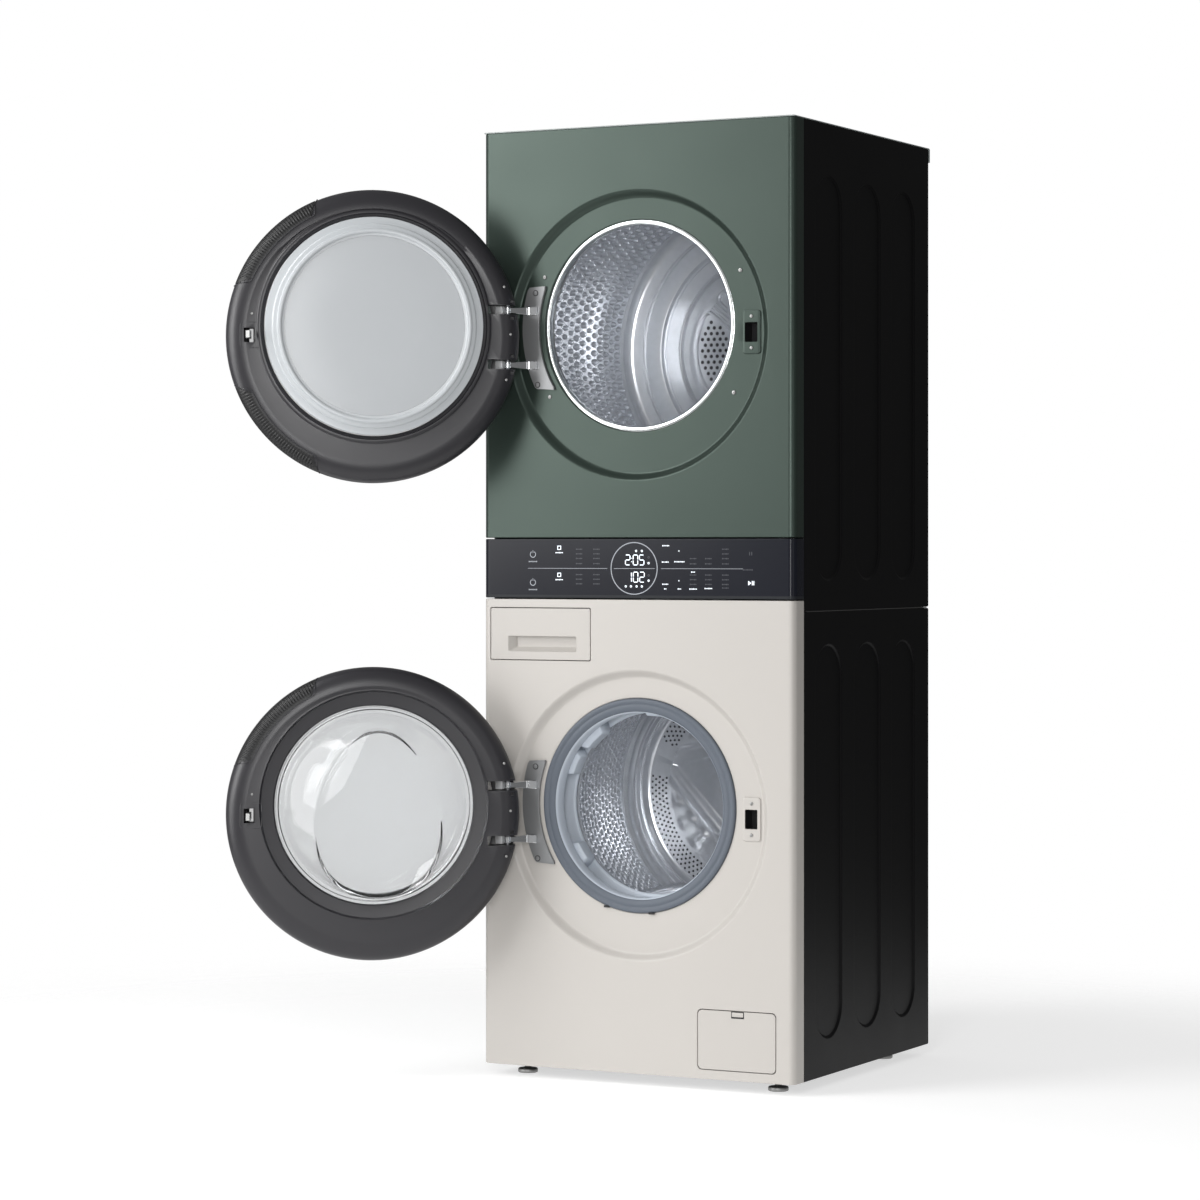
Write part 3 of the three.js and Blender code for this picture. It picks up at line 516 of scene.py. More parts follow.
def make_floor():
    paper = Builder()
    corners = ((-1, -1), (1, -1), (1, 1), (-1, 1))
    paper.cap(paper.ring([Vector((x * FLOOR_REACH, y * FLOOR_REACH, 0)) for x, y in corners]))
    data = paper.mesh("floor")
    floor = bpy.data.objects.new("floor", data)
    bpy.context.scene.collection.objects.link(floor)
    data.materials.append(floor_finish())


def link_all(tree, rows):
    for source, output, target, socket in rows:
        tree.links.new(source.outputs[output], target.inputs[socket])


def make_surround():
    """White behind the machine for the camera, and a dim studio for everything else it lights."""
    world = bpy.data.worlds.new("surround")
    bpy.context.scene.world = world
    world.use_nodes = True
    tree = world.node_tree
    tree.nodes.clear()
    new = tree.nodes.new
    end, mix = new("ShaderNodeOutputWorld"), new("ShaderNodeMixShader")
    seen, room = new("ShaderNodeBackground"), new("ShaderNodeBackground")
    seen.inputs["Color"].default_value = (1, 1, 1, 1)
    seen.inputs["Strength"].default_value = 1.0
    path, pick = new("ShaderNodeLightPath"), new("ShaderNodeMath")
    pick.operation = "MAXIMUM"
    place, side = new("ShaderNodeTexCoord"), new("ShaderNodeVectorMath")
    side.operation = "DOT_PRODUCT"
    side.inputs[1].default_value = ROOM_BRIGHT_SIDE
    ramp = new("ShaderNodeMapRange")
    for socket, value in (
        ("From Min", -0.9), ("From Max", 0.9), ("To Min", ROOM_DARK), ("To Max", ROOM_BRIGHT)
    ):
        ramp.inputs[socket].default_value = value
    link_all(
        tree,
        (
            (place, "Generated", side, 0), (side, "Value", ramp, "Value"),
            (ramp, "Result", room, "Strength"), (path, "Is Camera Ray", pick, 0),
            (path, "Is Transmission Ray", pick, 1), (pick, 0, mix, "Fac"), (room, 0, mix, 1),
            (seen, 0, mix, 2), (mix, 0, end, "Surface"),
        )
    )


def soft_light(name, place, aim, size, power):
    data = bpy.data.lights.new(name, "AREA")
    data.shape = "RECTANGLE"
    data.size, data.size_y = size
    data.energy = power
    light = bpy.data.objects.new(name, data)
    light.location = place
    light.rotation_euler = (Vector(aim) - Vector(place)).to_track_quat("-Z", "Y").to_euler()
    bpy.context.scene.collection.objects.link(light)


def make_camera():
    data = bpy.data.cameras.new("camera")
    data.sensor_width = CAMERA_SENSOR
    data.lens = CAMERA_LENS
    data.shift_y = CAMERA_SHIFT
    camera = bpy.data.objects.new("camera", data)
    camera.location = CAMERA_PLACE
    camera.rotation_euler = (math.pi / 2, 0, CAMERA_TURN)
    bpy.context.scene.collection.objects.link(camera)
    bpy.context.scene.camera = camera


make_floor()
make_surround()
make_camera()
soft_light("key_light", (-1.65, -1.5, 1.3), (-0.2, 0, 0.9), (0.9, 2.6), 26)
soft_light("front_light", (-2.8, -4.5, 2.0), (0, 0, 0.9), (1.4, 2.2), 62)
soft_light("top_light", (-1.5, -1.9, 3.0), (0, 0, 1.0), (1.2, 0.9), 26)
soft_light("edge_light", (3.0, -1.5, 1.1), (0.3, 0, 0.9), (0.35, 2.4), 5)
soft_light("drum_light", (1.3, -3.2, 1.2), (-0.1, 0.2, 0.9), (0.6, 1.6), 40)
bpy.context.scene.view_settings.view_transform = "Standard"

# %% [markdown]
# ## Front panels
# Each front is one pressed sheet: flat, folded round the cabinet's upright edges, with a round
# dish and an opening. A solid could be cut with booleans, but the dish needs a smooth fall. So
# the flat part is a filled outline, and the dish is a loft of rings from its rim, down an
# S-curve, to the opening.

# %% Front panel builder
EDGE = 0.0015  # small fold radius of the sheets
SHEET = 0.0012
WRAP_RADIUS = 0.012
WRAP_STEPS = 10
FOLD_BACK = 0.010
LIP = 0.002  # radius of the curl where the dish turns into the opening
MOUTH_DEEP = 0.008
CLEAR = 0.0012  # gap round the drawer and the service cover

washer_ring = Vector((0, joints["washer_door_swing"]["pos_m"][2]))
dryer_ring = Vector((0, joints["dryer_door_swing"]["pos_m"][2]))
OPENING_RISE = 0.0164
DISH_RADIUS = 0.252
DISH_WALL = 0.016
DISH_DEPTH = 0.012
LOCK_SLOT = (0.2033, 0.2262, 0.0164)  # left, right and half height of the slot for the door's hook
SLOT_CORNER = 0.0016


def front_outline(low, high, inset):
    """The sheet's plan at one inset: return, rounded edge, front, rounded edge, return."""
    r = WRAP_RADIUS
    bend = r - inset
    points = [(low[0] + inset, high[1]), (low[0] + inset, low[1] + r)]
    points += arc_profile((low[0] + r, low[1] + r), bend, 180, 270, WRAP_STEPS)
    points += arc_profile((high[0] - r, low[1] + r), bend, 270, 360, WRAP_STEPS)
    points += [(high[0] - inset, low[1] + r), (high[0] - inset, high[1])]
    return points


def dish_rings(dish, opening):
    """The dish wall from its rim down to its floor, and the curl into the opening."""
    wall = [
        circle_at(dish, DISH_RADIUS - DISH_WALL * i / 12, DISH_DEPTH * ease(i / 12))
        for i in range(13)
    ]
    curl = [(opening + LIP, DISH_DEPTH)]
    curl += [(opening + LIP - LIP * math.sin(a), DISH_DEPTH + LIP - LIP * math.cos(a))
             for a in (0.4, 0.8, 1.2, 1.57)]
    curl.append((opening, DISH_DEPTH + MOUTH_DEEP))
    mouth = dish + Vector((0, OPENING_RISE))
    return wall, [circle_at(mouth, radius, y) for radius, y in curl]


def front_sheet(name, node, material, dish=None, opening=0.0, cutouts=()):
    """A front with folded edges, an optional dish and opening, and rounded cutouts."""
    low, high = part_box(node)
    build = Builder()
    folds = [
        (FOLD_BACK, low.z), (EDGE, low.z), (EDGE * 0.3, low.z + EDGE * 0.3), (0, low.z + EDGE),
        (0, high.z - EDGE), (EDGE * 0.3, high.z - EDGE * 0.3), (EDGE, high.z), (FOLD_BACK, high.z),
    ]
    rows = []
    for inset, z in folds:
        plan = front_outline((low.x, low.y), (high.x, high.y), inset)
        rows.append(build.ring([Vector((x, y, z)) for x, y in plan]))
    left = WRAP_STEPS + 2  # where the flat front starts along the plan
    right = left + 1
    for number, (first, second) in enumerate(zip(rows, rows[1:])):
        for i in range(len(first) - 1):
            if not (number == 3 and i == left):  # that face is filled round its holes instead
                build.bm.faces.new((first[i], first[i + 1], second[i + 1], second[i]))
    rims = [[rows[3][left], rows[3][right], rows[4][right], rows[4][left]]]
    if dish is not None:
        wall, throat = (build.loft(rings) for rings in dish_rings(dish, opening))
        rims.append(wall[0])
        slot = rounded_box_loop(
            (LOCK_SLOT[0], dish.y - LOCK_SLOT[2]), (LOCK_SLOT[1], dish.y + LOCK_SLOT[2]),
            SLOT_CORNER, DISH_DEPTH
        )
        build.fill_flat([wall[-1], throat[0], build.ring(slot)])
    for corner_low, corner_high, radius in cutouts:
        loops = []
        for shrink, y in [
            (0, 0), (0.0004, 0.0002), (0.0009, 0.0008), (0.001, 0.002), (0.001, 0.012)
        ]:
            a = (corner_low[0] - 0.001 + shrink, corner_low[1] - 0.001 + shrink)
            b = (corner_high[0] + 0.001 - shrink, corner_high[1] + 0.001 - shrink)
            loops.append(rounded_box_loop(a, b, radius + 0.001 - shrink, y))
        rims.append(build.loft(loops)[0])
    build.fill_flat(rims)
    made = piece(name, build, material, "cabinet", [node])
    face_towards(made, TO_FRONT)
    return thicken(made, SHEET)


drawer_low, drawer_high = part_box("detergent_drawer")
hatch_low, hatch_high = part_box("service_cover")
ring_low, ring_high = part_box("dryer_opening_ring")
gasket_low, gasket_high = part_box("door_gasket")
MOUTH_EDGE = 0.1829  # where the green sheet ends and the polished ring begins
WASHER_MOUTH = 0.1854
dryer_front = front_sheet("dryer_front", "dryer_front_panel", green_enamel, dryer_ring, MOUTH_EDGE)
washer_front = front_sheet(
    "washer_front", "washer_front_panel", beige_enamel, washer_ring, WASHER_MOUTH,
    [
        (
            (drawer_low.x - CLEAR, drawer_low.z - CLEAR),
            (drawer_high.x + CLEAR, drawer_high.z + CLEAR), 0.003
        ),
        (
            (hatch_low.x - CLEAR, hatch_low.z - CLEAR),
            (hatch_high.x + CLEAR, hatch_high.z + CLEAR), 0.008
        ),
    ],
)
control_cover = front_sheet("control_cover", "control_panel", panel_gloss)
print("fronts:", [len(o.data.polygons) for o in (dryer_front, washer_front, control_cover)])

# %% [markdown]
# ## Side and rear sheets
# A large thin sheet drums when the machine spins, so it is stiffened with long pressed panels
# with round ends. Each panel is a few stadium-shaped rings that step inwards, capped at the
# bottom.

# %% Pressed sheets
PRESS = 0.0032
PRESS_WALL = 0.006
PRESS_STEPS = 6
THIN_SHEET = 0.0008
# The front and back of each pressed panel, and the flat margins below and above them.
SIDE_PANELS = ((0.084, 0.200), (0.250, 0.369), (0.416, 0.526))
SIDE_INSETS = {"upper": (0.049, 0.087), "lower": (0.062, 0.054)}


def stadium(middle, low, high, radius):
    """(u, v) points of a tall slot with round ends."""
    top = arc_profile((middle, high - radius), radius, 0, 180, 16)
    return top + arc_profile((middle, low + radius), radius, 180, 360, 16)


def side_sheet(level, hand):
    node = f"{level}_{hand}_side_panel"
    low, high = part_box(node)
    out, inward = (high.x, -1) if hand == "right" else (low.x, 1)

    def place(y, z, depth):
        return Vector((out + inward * depth, y, z))

    build = Builder()
    below, above = SIDE_INSETS[level]
    rims = []
    for front, back in SIDE_PANELS:
        middle, half = (front + back) / 2, (back - front) / 2
        rings = []
        for i in range(PRESS_STEPS + 1):
            share = i / PRESS_STEPS
            inset = PRESS_WALL * share
            outline = stadium(middle, low.z + below + inset, high.z - above - inset, half - inset)
            rings.append([place(y, z, PRESS * ease(share)) for y, z in outline])
        made = build.loft(rings)
        build.cap(made[-1])
        rims.append(made[0])
    loops = []
    for shift, depth in [(0, 0), (EDGE * 0.7, EDGE * 0.3), (EDGE, EDGE), (EDGE, 0.014)]:
        a = (low.y + EDGE - shift, low.z + EDGE - shift)
        b = (high.y - EDGE + shift, high.z - EDGE + shift)
        corners = [(a[0], a[1]), (b[0], a[1]), (b[0], b[1]), (a[0], b[1])]
        loops.append([place(y, z, depth) for y, z in corners])
    rims.append(build.loft(loops)[0])
    build.fill_flat(rims, (-inward, 0, 0))
    made = piece(f"{level}_{hand}_side", build, black_enamel, "cabinet", [node])
    face_towards(made, (-inward, 0, 0))
    return thicken(made, THIN_SHEET)


for level in ("lower", "upper"):
    for hand in ("left", "right"):
        side_sheet(level, hand)
print("side sheets done")

# %% [markdown]
# ## Screws, and a tree that sets copies on points
# Screws, drum bumps and ribs repeat by the dozen or the hundred. Copies could be placed in a
# loop, but a node tree says the rule once: a template is set on each point, turned to face the
# way the point's `aim` says, and sized by `grow`. The result is made real, as one plain mesh.

# %% Copies on points
def copy_tree():
    tree = bpy.data.node_groups.new("copies_on_points", "GeometryNodeTree")
    ports, inputs = tree.interface, {}
    for name, kind in (
        ("Points", "Geometry"), ("Template", "Object"), ("Size", "Float"), ("Finish", "Material")
    ):
        port = ports.new_socket(name, in_out="INPUT", socket_type="NodeSocket" + kind)
        inputs[name] = port.identifier
    ports.new_socket("Copies", in_out="OUTPUT", socket_type="NodeSocketGeometry")
    new = tree.nodes.new
    start, end = new("NodeGroupInput"), new("NodeGroupOutput")
    source = new("GeometryNodeObjectInfo")
    aim, up, grow = (new("GeometryNodeInputNamedAttribute") for _ in range(3))
    for node, name in ((aim, "aim"), (up, "up"), (grow, "grow")):
        node.data_type = "FLOAT" if node == grow else "FLOAT_VECTOR"
        node.inputs["Name"].default_value = name
    lift, lean = new("FunctionNodeAlignRotationToVector"), new("FunctionNodeAlignRotationToVector")
    lift.axis = "Z"
    lean.axis = "Y"
    lean.pivot_axis = "Z"
    scale = new("ShaderNodeMath")
    scale.operation = "MULTIPLY"
    place, real = new("GeometryNodeInstanceOnPoints"), new("GeometryNodeRealizeInstances")
    paint = new("GeometryNodeSetMaterial")
    link_all(
        tree,
        (
            (start, "Template", source, "Object"), (start, "Points", place, "Points"),
            (source, "Geometry", place, "Instance"), (aim, "Attribute", lift, "Vector"),
            (lift, "Rotation", lean, "Rotation"), (up, "Attribute", lean, "Vector"),
            (lean, "Rotation", place, "Rotation"), (grow, "Attribute", scale, 0),
            (start, "Size", scale, 1), (scale, 0, place, "Scale"),
            (place, "Instances", real, "Geometry"), (real, "Geometry", paint, "Geometry"),
            (start, "Finish", paint, "Material"), (paint, "Geometry", end, "Copies"),
        )
    )
    return tree, inputs


COPY_TREE, COPY_INPUTS = copy_tree()


def copies(name, template, places, material, body, turn=None):
    """Sets the template mesh on places: (point, aim, up, size) with aim where its +Z looks."""
    points = bpy.data.meshes.new(name + "_points")
    points.from_pydata([place[0] for place in places], [], [])
    for key, index in (("aim", 1), ("up", 2)):
        layer = points.attributes.new(key, "FLOAT_VECTOR", "POINT")
        layer.data.foreach_set("vector", [number for place in places for number in place[index]])
    layer = points.attributes.new("grow", "FLOAT", "POINT")
    layer.data.foreach_set("value", [place[3] for place in places])
    holder = bpy.data.objects.new(name + "_holder", points)
    pattern = bpy.data.objects.new(name + "_template", template)
    for one in (holder, pattern):
        bpy.context.scene.collection.objects.link(one)
    node = holder.modifiers.new("copies", "NODES")
    node.node_group = COPY_TREE
    for key, value in (("Template", pattern), ("Size", 1.0), ("Finish", material)):
        node[COPY_INPUTS[key]] = value
    holder.update_tag()
    bpy.context.view_layer.update()
    graph = bpy.context.evaluated_depsgraph_get()
    data = bpy.data.meshes.new_from_object(holder.evaluated_get(graph), depsgraph=graph)
    data.name = name
    data.materials.clear()
    for one in (holder, pattern):
        bpy.data.objects.remove(one)
    for key in ("aim", "up", "grow"):
        if key in data.attributes:
            data.attributes.remove(data.attributes[key])
    return piece(name, data, material, body, smooth=40, turn=turn)


def screw_head():
    """A cross-recessed pan head, 1 across, that faces +Z."""
    head = Builder()
    rows = ((0.5, -0.25), (0.5, 0.06), (0.5 * 0.86, 0.16), (0.5 * 0.55, 0.2))
    top = head.loft([level_circle((0, 0), radius, z, 16) for radius, z in rows])[-1]
    cross = [(vert, 0.72 if i % 4 in (0, 3) else 0.35) for i, vert in enumerate(top)]
    deep = [Vector((vert.co.x * reach, vert.co.y * reach, 0.2)) for vert, reach in cross]
    inner = head.ring(deep)
    floor = head.ring([Vector((p.x * 0.9, p.y * 0.9, 0.02)) for p in deep])
    head.bridge(top, inner)
    head.bridge(inner, floor)
    head.cap(floor)
    return head.mesh("screw_head", outward=False)


# %% [markdown]
# ## Doors
# Each door is a moulded ring with a broad soft rim, a flat face and a step round the glass,
# closed at the back by a cover with a tinted pane. The ring's outside is centred on the dish and
# its hole a little higher, so the loft moves the centre from ring to ring. Doors are drawn shut,
# then turned open.

# %% Door frame
DOOR_RIM = 0.254
DOOR_SPLIT = -0.0446  # depth at which the frame meets the cover
DOOR_FACE = -0.0035
ARM_RISE = 0.0475  # the hinge arms' height above and below the middle
ARM_SLOT = 0.0085  # half height of the slots that the arms pass through
HOLE_FIT = 0.0004
LATCH_AT = 0.216
glass_radius = {"dryer": 0.189, "washer": 0.171}
dish_height = {"dryer": dryer_ring.y, "washer": washer_ring.y}


def door_turn(machine):
    """Turns what is drawn shut to where the open door stands."""
    joint = joints[f"{machine}_door_swing"]
    pivot = Matrix.Translation((joint["pos_m"][0], joint["pos_m"][1], 0))
    return pivot @ Matrix.Rotation(-math.radians(joint["range_deg"][1]), 4, "Z") @ pivot.inverted()


def rim_profile():
    """The broad soft rim: a quarter ellipse from the side of the door to its face."""
    wide, deep = 0.034, 0.022
    turns = [math.radians(90 * i / 14) for i in range(15)]
    return [
        (DOOR_RIM - wide + wide * math.cos(a), DOOR_FACE - deep + deep * math.sin(a))
        for a in turns
    ]


def step_profile(machine):
    """The steps from the door's flat face down to its glass, as (radius, y)."""
    steps = {
        "dryer": [(0.016, -0.0055), (0.0135, -0.0052), (0.012, -0.0036), (0.0105, -0.003),
                  (0.007, -0.003), (0.0055, -0.004), (0.005, -0.0075), (0.0, -0.009)],
        "washer": [(0.030, -0.0045), (0.027, -0.0042), (0.025, -0.0062), (0.0235, -0.0078),
                   (0.008, -0.0092), (0.003, -0.0095), (0.001, -0.011), (0.0, -0.013)],
    }
    hole = glass_radius[machine] + HOLE_FIT
    return [(hole + beyond, y) for beyond, y in steps[machine]]


def slope_centre(machine, share):
    """From the middle of the dish, at share 0, to the middle of the opening, at share 1."""
    return (0, dish_height[machine] + OPENING_RISE * share)


def door_frame_mesh(machine):
    build = Builder()
    rings = [circle_at(slope_centre(machine, 0), DOOR_RIM, DOOR_SPLIT)]
    rings += [circle_at(slope_centre(machine, 0), r, y) for r, y in rim_profile()]
    rings += [circle_at(slope_centre(machine, 1), r, y) for r, y in step_profile(machine)]
    rings.append(circle_at(slope_centre(machine, 1), glass_radius[machine] + HOLE_FIT, DOOR_SPLIT))
    build.band(rings)
    return build.mesh(f"{machine}_frame")


def door_piece(machine, name, shape, material, replaces=(), smooth=32):
    """A piece drawn shut, turned open, that rides on its door."""
    name, nodes = f"{machine}_{name}", [f"{machine}_{node}" for node in replaces]
    return piece(name, shape, material, f"{machine}_door", nodes, smooth, door_turn(machine))


def cut_away(data, boxes):
    """The mesh less some boxes, as a new plain mesh."""
    tool = Builder()
    for low, high in boxes:
        tool.box(low, high)
    body = bpy.data.objects.new("cut_body", data)
    cutter = bpy.data.objects.new("cutter", tool.mesh("cutter"))
    for one in (body, cutter):
        bpy.context.scene.collection.objects.link(one)
    knife = body.modifiers.new("cut", "BOOLEAN")
    knife.operation = "DIFFERENCE"
    knife.solver = "EXACT"
    knife.object = cutter
    bpy.context.view_layer.update()
    graph = bpy.context.evaluated_depsgraph_get()
    made = bpy.data.meshes.new_from_object(body.evaluated_get(graph), depsgraph=graph)
    for one in (body, cutter):
        bpy.data.objects.remove(one)
    made.materials.clear()
    return made


def door_frame(machine):
    """The frame less its arm slots, screw slots and latch hole, with four screws."""
    middle = dish_height[machine]
    boxes = []
    for side in (-1, 1):
        arm = middle + side * ARM_RISE
        boxes.append(((-0.257, -0.05, arm - ARM_SLOT), (-0.197, 0.002, arm + ARM_SLOT)))
        for hole in (-1, 1):
            z = arm + hole * 0.0145
            boxes.append(((-0.2435, -0.022, z - 0.0028), (-0.2365, 0.002, z + 0.0028)))
    boxes.append(
        ((LATCH_AT - 0.0095, -0.05, middle - 0.0125), (LATCH_AT + 0.0085, 0.002, middle + 0.0125))
    )
    data = cut_away(door_frame_mesh(machine), boxes)
    made = door_piece(machine, "frame", data, charcoal_plastic, ["door_frame"])
    spots = [(-0.2256, 0.0866), (-0.237, 0.0043), (-0.2295, -0.0746), (0.2105, 0.037)]
    places = [((x, -0.0046, middle + z), (0, 1, 0), UP, 0.0046) for x, z in spots]
    copies(
        f"{machine}_door_screws", screw_head(), places, zinc, f"{machine}_door", door_turn(machine)
    )
    return made


for machine in ("dryer", "washer"):
    print(machine, "door frame", len(door_frame(machine).data.polygons), "faces")

# %% [markdown]
# ### Grips, latch plate and outer cover
# The rim has ribbed pockets for the fingers. A ribbed strip that follows the rim could be carved,
# but laying one loft over it gives the ribs and the edge line in one go. The cover outside is a
# dished ring with a tinted pane, so daylight shows through the door.

# %% Door trim
GRIP_STEPS = 150
LINE_STEPS = 90


def grip_strip(machine, level, start, end):
    """A ribbed strip over the rim between two angles, with a fine edge all round."""
    middle = slope_centre(machine, 0)
    section = [(r + 0.0008, y + 0.0006) for r, y in rim_profile()[1:12]]
    rows = []
    for i in range(GRIP_STEPS + 1):
        share = i / GRIP_STEPS
        angle = math.radians(start + (end - start) * share)
        near_end = min(share, 1 - share) * GRIP_STEPS
        # The strip narrows at its ends: past the points kept, the section folds up.
        keep = 11 if near_end > 14 else max(3, round(4 + near_end / 2))
        rib = 0.0011 if near_end >= 6 and i % 4 in (0, 1) else 0.0
        row = []
        for number, (r, y) in enumerate(section):
            if number >= keep:
                r, y = section[keep - 1][0] - 0.00001 * number, section[keep - 1][1]
            grow = rib if 0 < number < keep - 2 else 0.0
            across = r + grow * 0.3
            row.append(Vector((middle[0] + across * math.cos(angle), y + grow,
                               middle[1] + across * math.sin(angle))))
        rows.append(row)
    build = Builder()
    build.loft(rows, closed=False)
    strip = door_piece(machine, f"{level}_grip", build, grip_plastic, smooth=30)
    inside = door_turn(machine).to_3x3() @ Vector((0, 1, 0))
    if sum(face.normal.dot(inside) for face in strip.data.polygons) < 0:
        strip.data.flip_normals()
    return thicken(strip, SHEET)


def edge_line(machine, level, start, end):
    """The fine moulded line along the inner edge of a grip."""
    middle = slope_centre(machine, 0)
    radius, y = rim_profile()[11]
    rows = []
    for i in range(LINE_STEPS + 1):
        share = i / LINE_STEPS
        angle = math.radians(start - 1.2 + (end - start + 2.4) * share)
        near_end = min(share, 1 - share) * LINE_STEPS
        fade = smooth_step(min(near_end / 9, 1.0))
        r = radius + (DOOR_RIM + 0.001 - radius) * (1 - fade)
        depth = y - (0.0215 - 0.002) * (1 - fade) ** 2.2
        tube = arc_profile((r, depth + 0.0008), 0.0009, 0, 315, 7)
        rows.append(
            [Vector((u * math.cos(angle), v, middle[1] + u * math.sin(angle))) for u, v in tube]
        )
    build = Builder()
    build.bar(rows)
    return door_piece(machine, f"{level}_grip_line", build, rim_plastic)


def door_cover(machine):
    """The dished ring outside the door and the tinted pane in it."""
    middle = slope_centre(machine, 0)
    profile = [
        (0.213, -0.0545), (0.213, -0.0560), (0.216, -0.0565), (0.236, -0.0568), (0.2402, -0.0565)
    ]
    profile += [(0.2402 + 0.0138 * math.sin(a), -0.0449 - 0.0118 * math.cos(a))
                for a in (math.radians(9 * i) for i in range(1, 11))]
    profile += [(0.2515, -0.0448), (0.2515, -0.0470), (0.219, -0.0500), (0.213, -0.0520)]
    build = Builder()
    build.band(turned(profile, middle))
    arms = [dish_height[machine] + side * ARM_RISE for side in (-1, 1)]
    slots = [((-0.257, -0.0505, arm - ARM_SLOT), (-0.233, -0.0440, arm + ARM_SLOT)) for arm in arms]
    cover = cut_away(build.mesh("cover"), slots)
    door_piece(machine, "cover_ring", cover, charcoal_plastic, ["door_cover"])
    glass = Builder()
    sheet = glass.loft(
        turned([(0.2132, -0.0515), (0.2132, -0.0556), (0.190, -0.0562), (0.10, -0.0566)], middle)
    )
    glass.fan(sheet[-1], (0, -0.0567, middle[1]))
    back = glass.loft(turned([(0.190, -0.0522), (0.10, -0.0526)], middle))
    glass.bridge(sheet[0], back[0])
    glass.fan(back[-1], (0, -0.0527, middle[1]))
    door_piece(machine, "outer_pane", glass, outer_pane, ["door_cover"])


def latch_plate(machine):
    """A fine line round the latch, as a rounded frame that stands half a millimetre proud."""
    middle = dish_height[machine]
    build = Builder()
    build.band(
        [
            rounded_box_loop(
                (0.1935 + s, middle - 0.0225 + s), (0.231 - s, middle + 0.0225 - s), 0.006 - s, y
            )
            for s, y in (
                (0, -0.0065), (0, -0.0042), (0.0004, -0.0038), (0.0009, -0.0042), (0.0009, -0.0065)
            )
        ]
    )
    door_piece(machine, "latch_line", build, rim_plastic)


GRIPS = {
    "dryer": (("upper", 20.5, 66.5), ("lower", -67.5, -21.0)), "washer": (("upper", 20.5, 66.5),)
}
for machine in ("dryer", "washer"):
    door_cover(machine)
    latch_plate(machine)
    for level, start, end in GRIPS[machine]:
        grip_strip(machine, level, start, end)
        edge_line(machine, level, start, end)
print("door trim done")

# %% [markdown]
# ### Door glass
# The dryer's inner disc is a stepped moulded ring round a flat pane, so it is two turned shapes.
# The washer's bowl is one thick glass: a cone falls from its flange to a flat front, and the
# front's outline is an egg that stands nearer the bottom, so each ring blends from a circle to
# that egg.

# %% Door glass
def dryer_disc():
    """The stepped moulded ring inside the door, and the pane it holds."""
    middle = slope_centre("dryer", 1)
    ring = [
        (0.1885, -0.0078), (0.1885, 0.0030), (0.1878, 0.0040), (0.1865, 0.0043), (0.1780, 0.0046),
        (0.1768, 0.0052), (0.1758, 0.0082), (0.1745, 0.0092), (0.1725, 0.0095), (0.1695, 0.0098),
        (0.1685, 0.0104), (0.1676, 0.0132), (0.1662, 0.0140), (0.1630, 0.0140), (0.1612, 0.0132),
        (0.1600, 0.0112), (0.1592, 0.0104), (0.1560, 0.0102), (0.1560, 0.0062), (0.1740, 0.0010),
        (0.1840, -0.0078)
    ]
    build = Builder()
    build.band(turned(ring, middle))
    door_piece("dryer", "disc_ring", build, pale_plastic, ["door_glass"])
    glass = Builder()
    front = glass.loft(
        turned([(0.1558, 0.0070), (0.1558, 0.0100), (0.150, 0.0104), (0.08, 0.0106)], middle)
    )
    glass.fan(front[-1], (0, 0.0106, middle[1]))
    back = glass.ring(circle_at(middle, 0.150, 0.0068))
    glass.bridge(front[0], back)
    glass.fan(back, (0, 0.0068, middle[1]))
    door_piece("dryer", "disc_pane", glass, disc_pane, ["door_glass"])


EGG_CENTRE = (-0.003, -0.014)
EGG_HALF = (0.108, 0.146)
EGG_TAPER = 0.17  # how much narrower the egg is at its top than at its middle
BOWL_RADIUS = 0.1708


def bowl_ring(middle, share, y, radius, grow=1.0):
    """A ring that is a circle of the radius at share 0, and an egg, wider below, at share 1."""
    points = []
    for c, s in round_points(1):
        wide = EGG_HALF[0] * (1 - EGG_TAPER * s)
        x = radius * c * (1 - share) + (EGG_CENTRE[0] + wide * c * grow) * share
        z = radius * s * (1 - share) + (EGG_CENTRE[1] + EGG_HALF[1] * s * grow) * share
        points.append(Vector((x, y, middle[1] + z)))
    return points


def washer_bowl():
    """The glass, as an outer and an inner surface joined at the flange."""
    middle = slope_centre("washer", 1)
    r = BOWL_RADIUS
    outside = [(0, -0.0078, r), (0, 0.0002, r), (0, 0.0022, r - 0.0008), (0, 0.0030, r - 0.003),
               (0, 0.0030, r - 0.008), (0, 0.0060, r - 0.011), (0.06, 0.016, r - 0.013),
               (0.25, 0.030, r - 0.017), (0.5, 0.043, r - 0.022), (0.78, 0.054, r - 0.03),
               (0.93, 0.0585, r - 0.03), (1.0, 0.0602, r - 0.03)]
    inside = [(0, -0.0078, r - 0.0048), (0, -0.0010, r - 0.0060), (0, 0.0010, r - 0.015),
              (0.06, 0.0110, r - 0.0185), (0.25, 0.0250, r - 0.022), (0.5, 0.038, r - 0.027),
              (0.78, 0.049, r - 0.035), (0.95, 0.0548, r - 0.035)]
    front = [(0.985, 0.0610), (0.96, 0.0606), (0.94, 0.0600), (0.6, 0.0602), (0.25, 0.0604)]
    back = [(0.9, 0.0556), (0.5, 0.0556), (0.2, 0.0556)]
    build = Builder()
    rims = []
    for cone, flat, grow in ((outside, front, 1.0), (inside, back, 0.965)):
        rings = [bowl_ring(middle, share, y, radius, grow) for share, y, radius in cone]
        made = build.loft(rings + [bowl_ring(middle, 1, y, 0, size) for size, y in flat])
        build.fan(made[-1], (EGG_CENTRE[0], flat[-1][1], middle[1] + EGG_CENTRE[1]))
        rims.append(made[0])
    build.bridge(*rims)
    door_piece("washer", "bowl", build, bowl_glass, ["door_glass"], smooth=45)


dryer_disc()
washer_bowl()
print("door glass done")

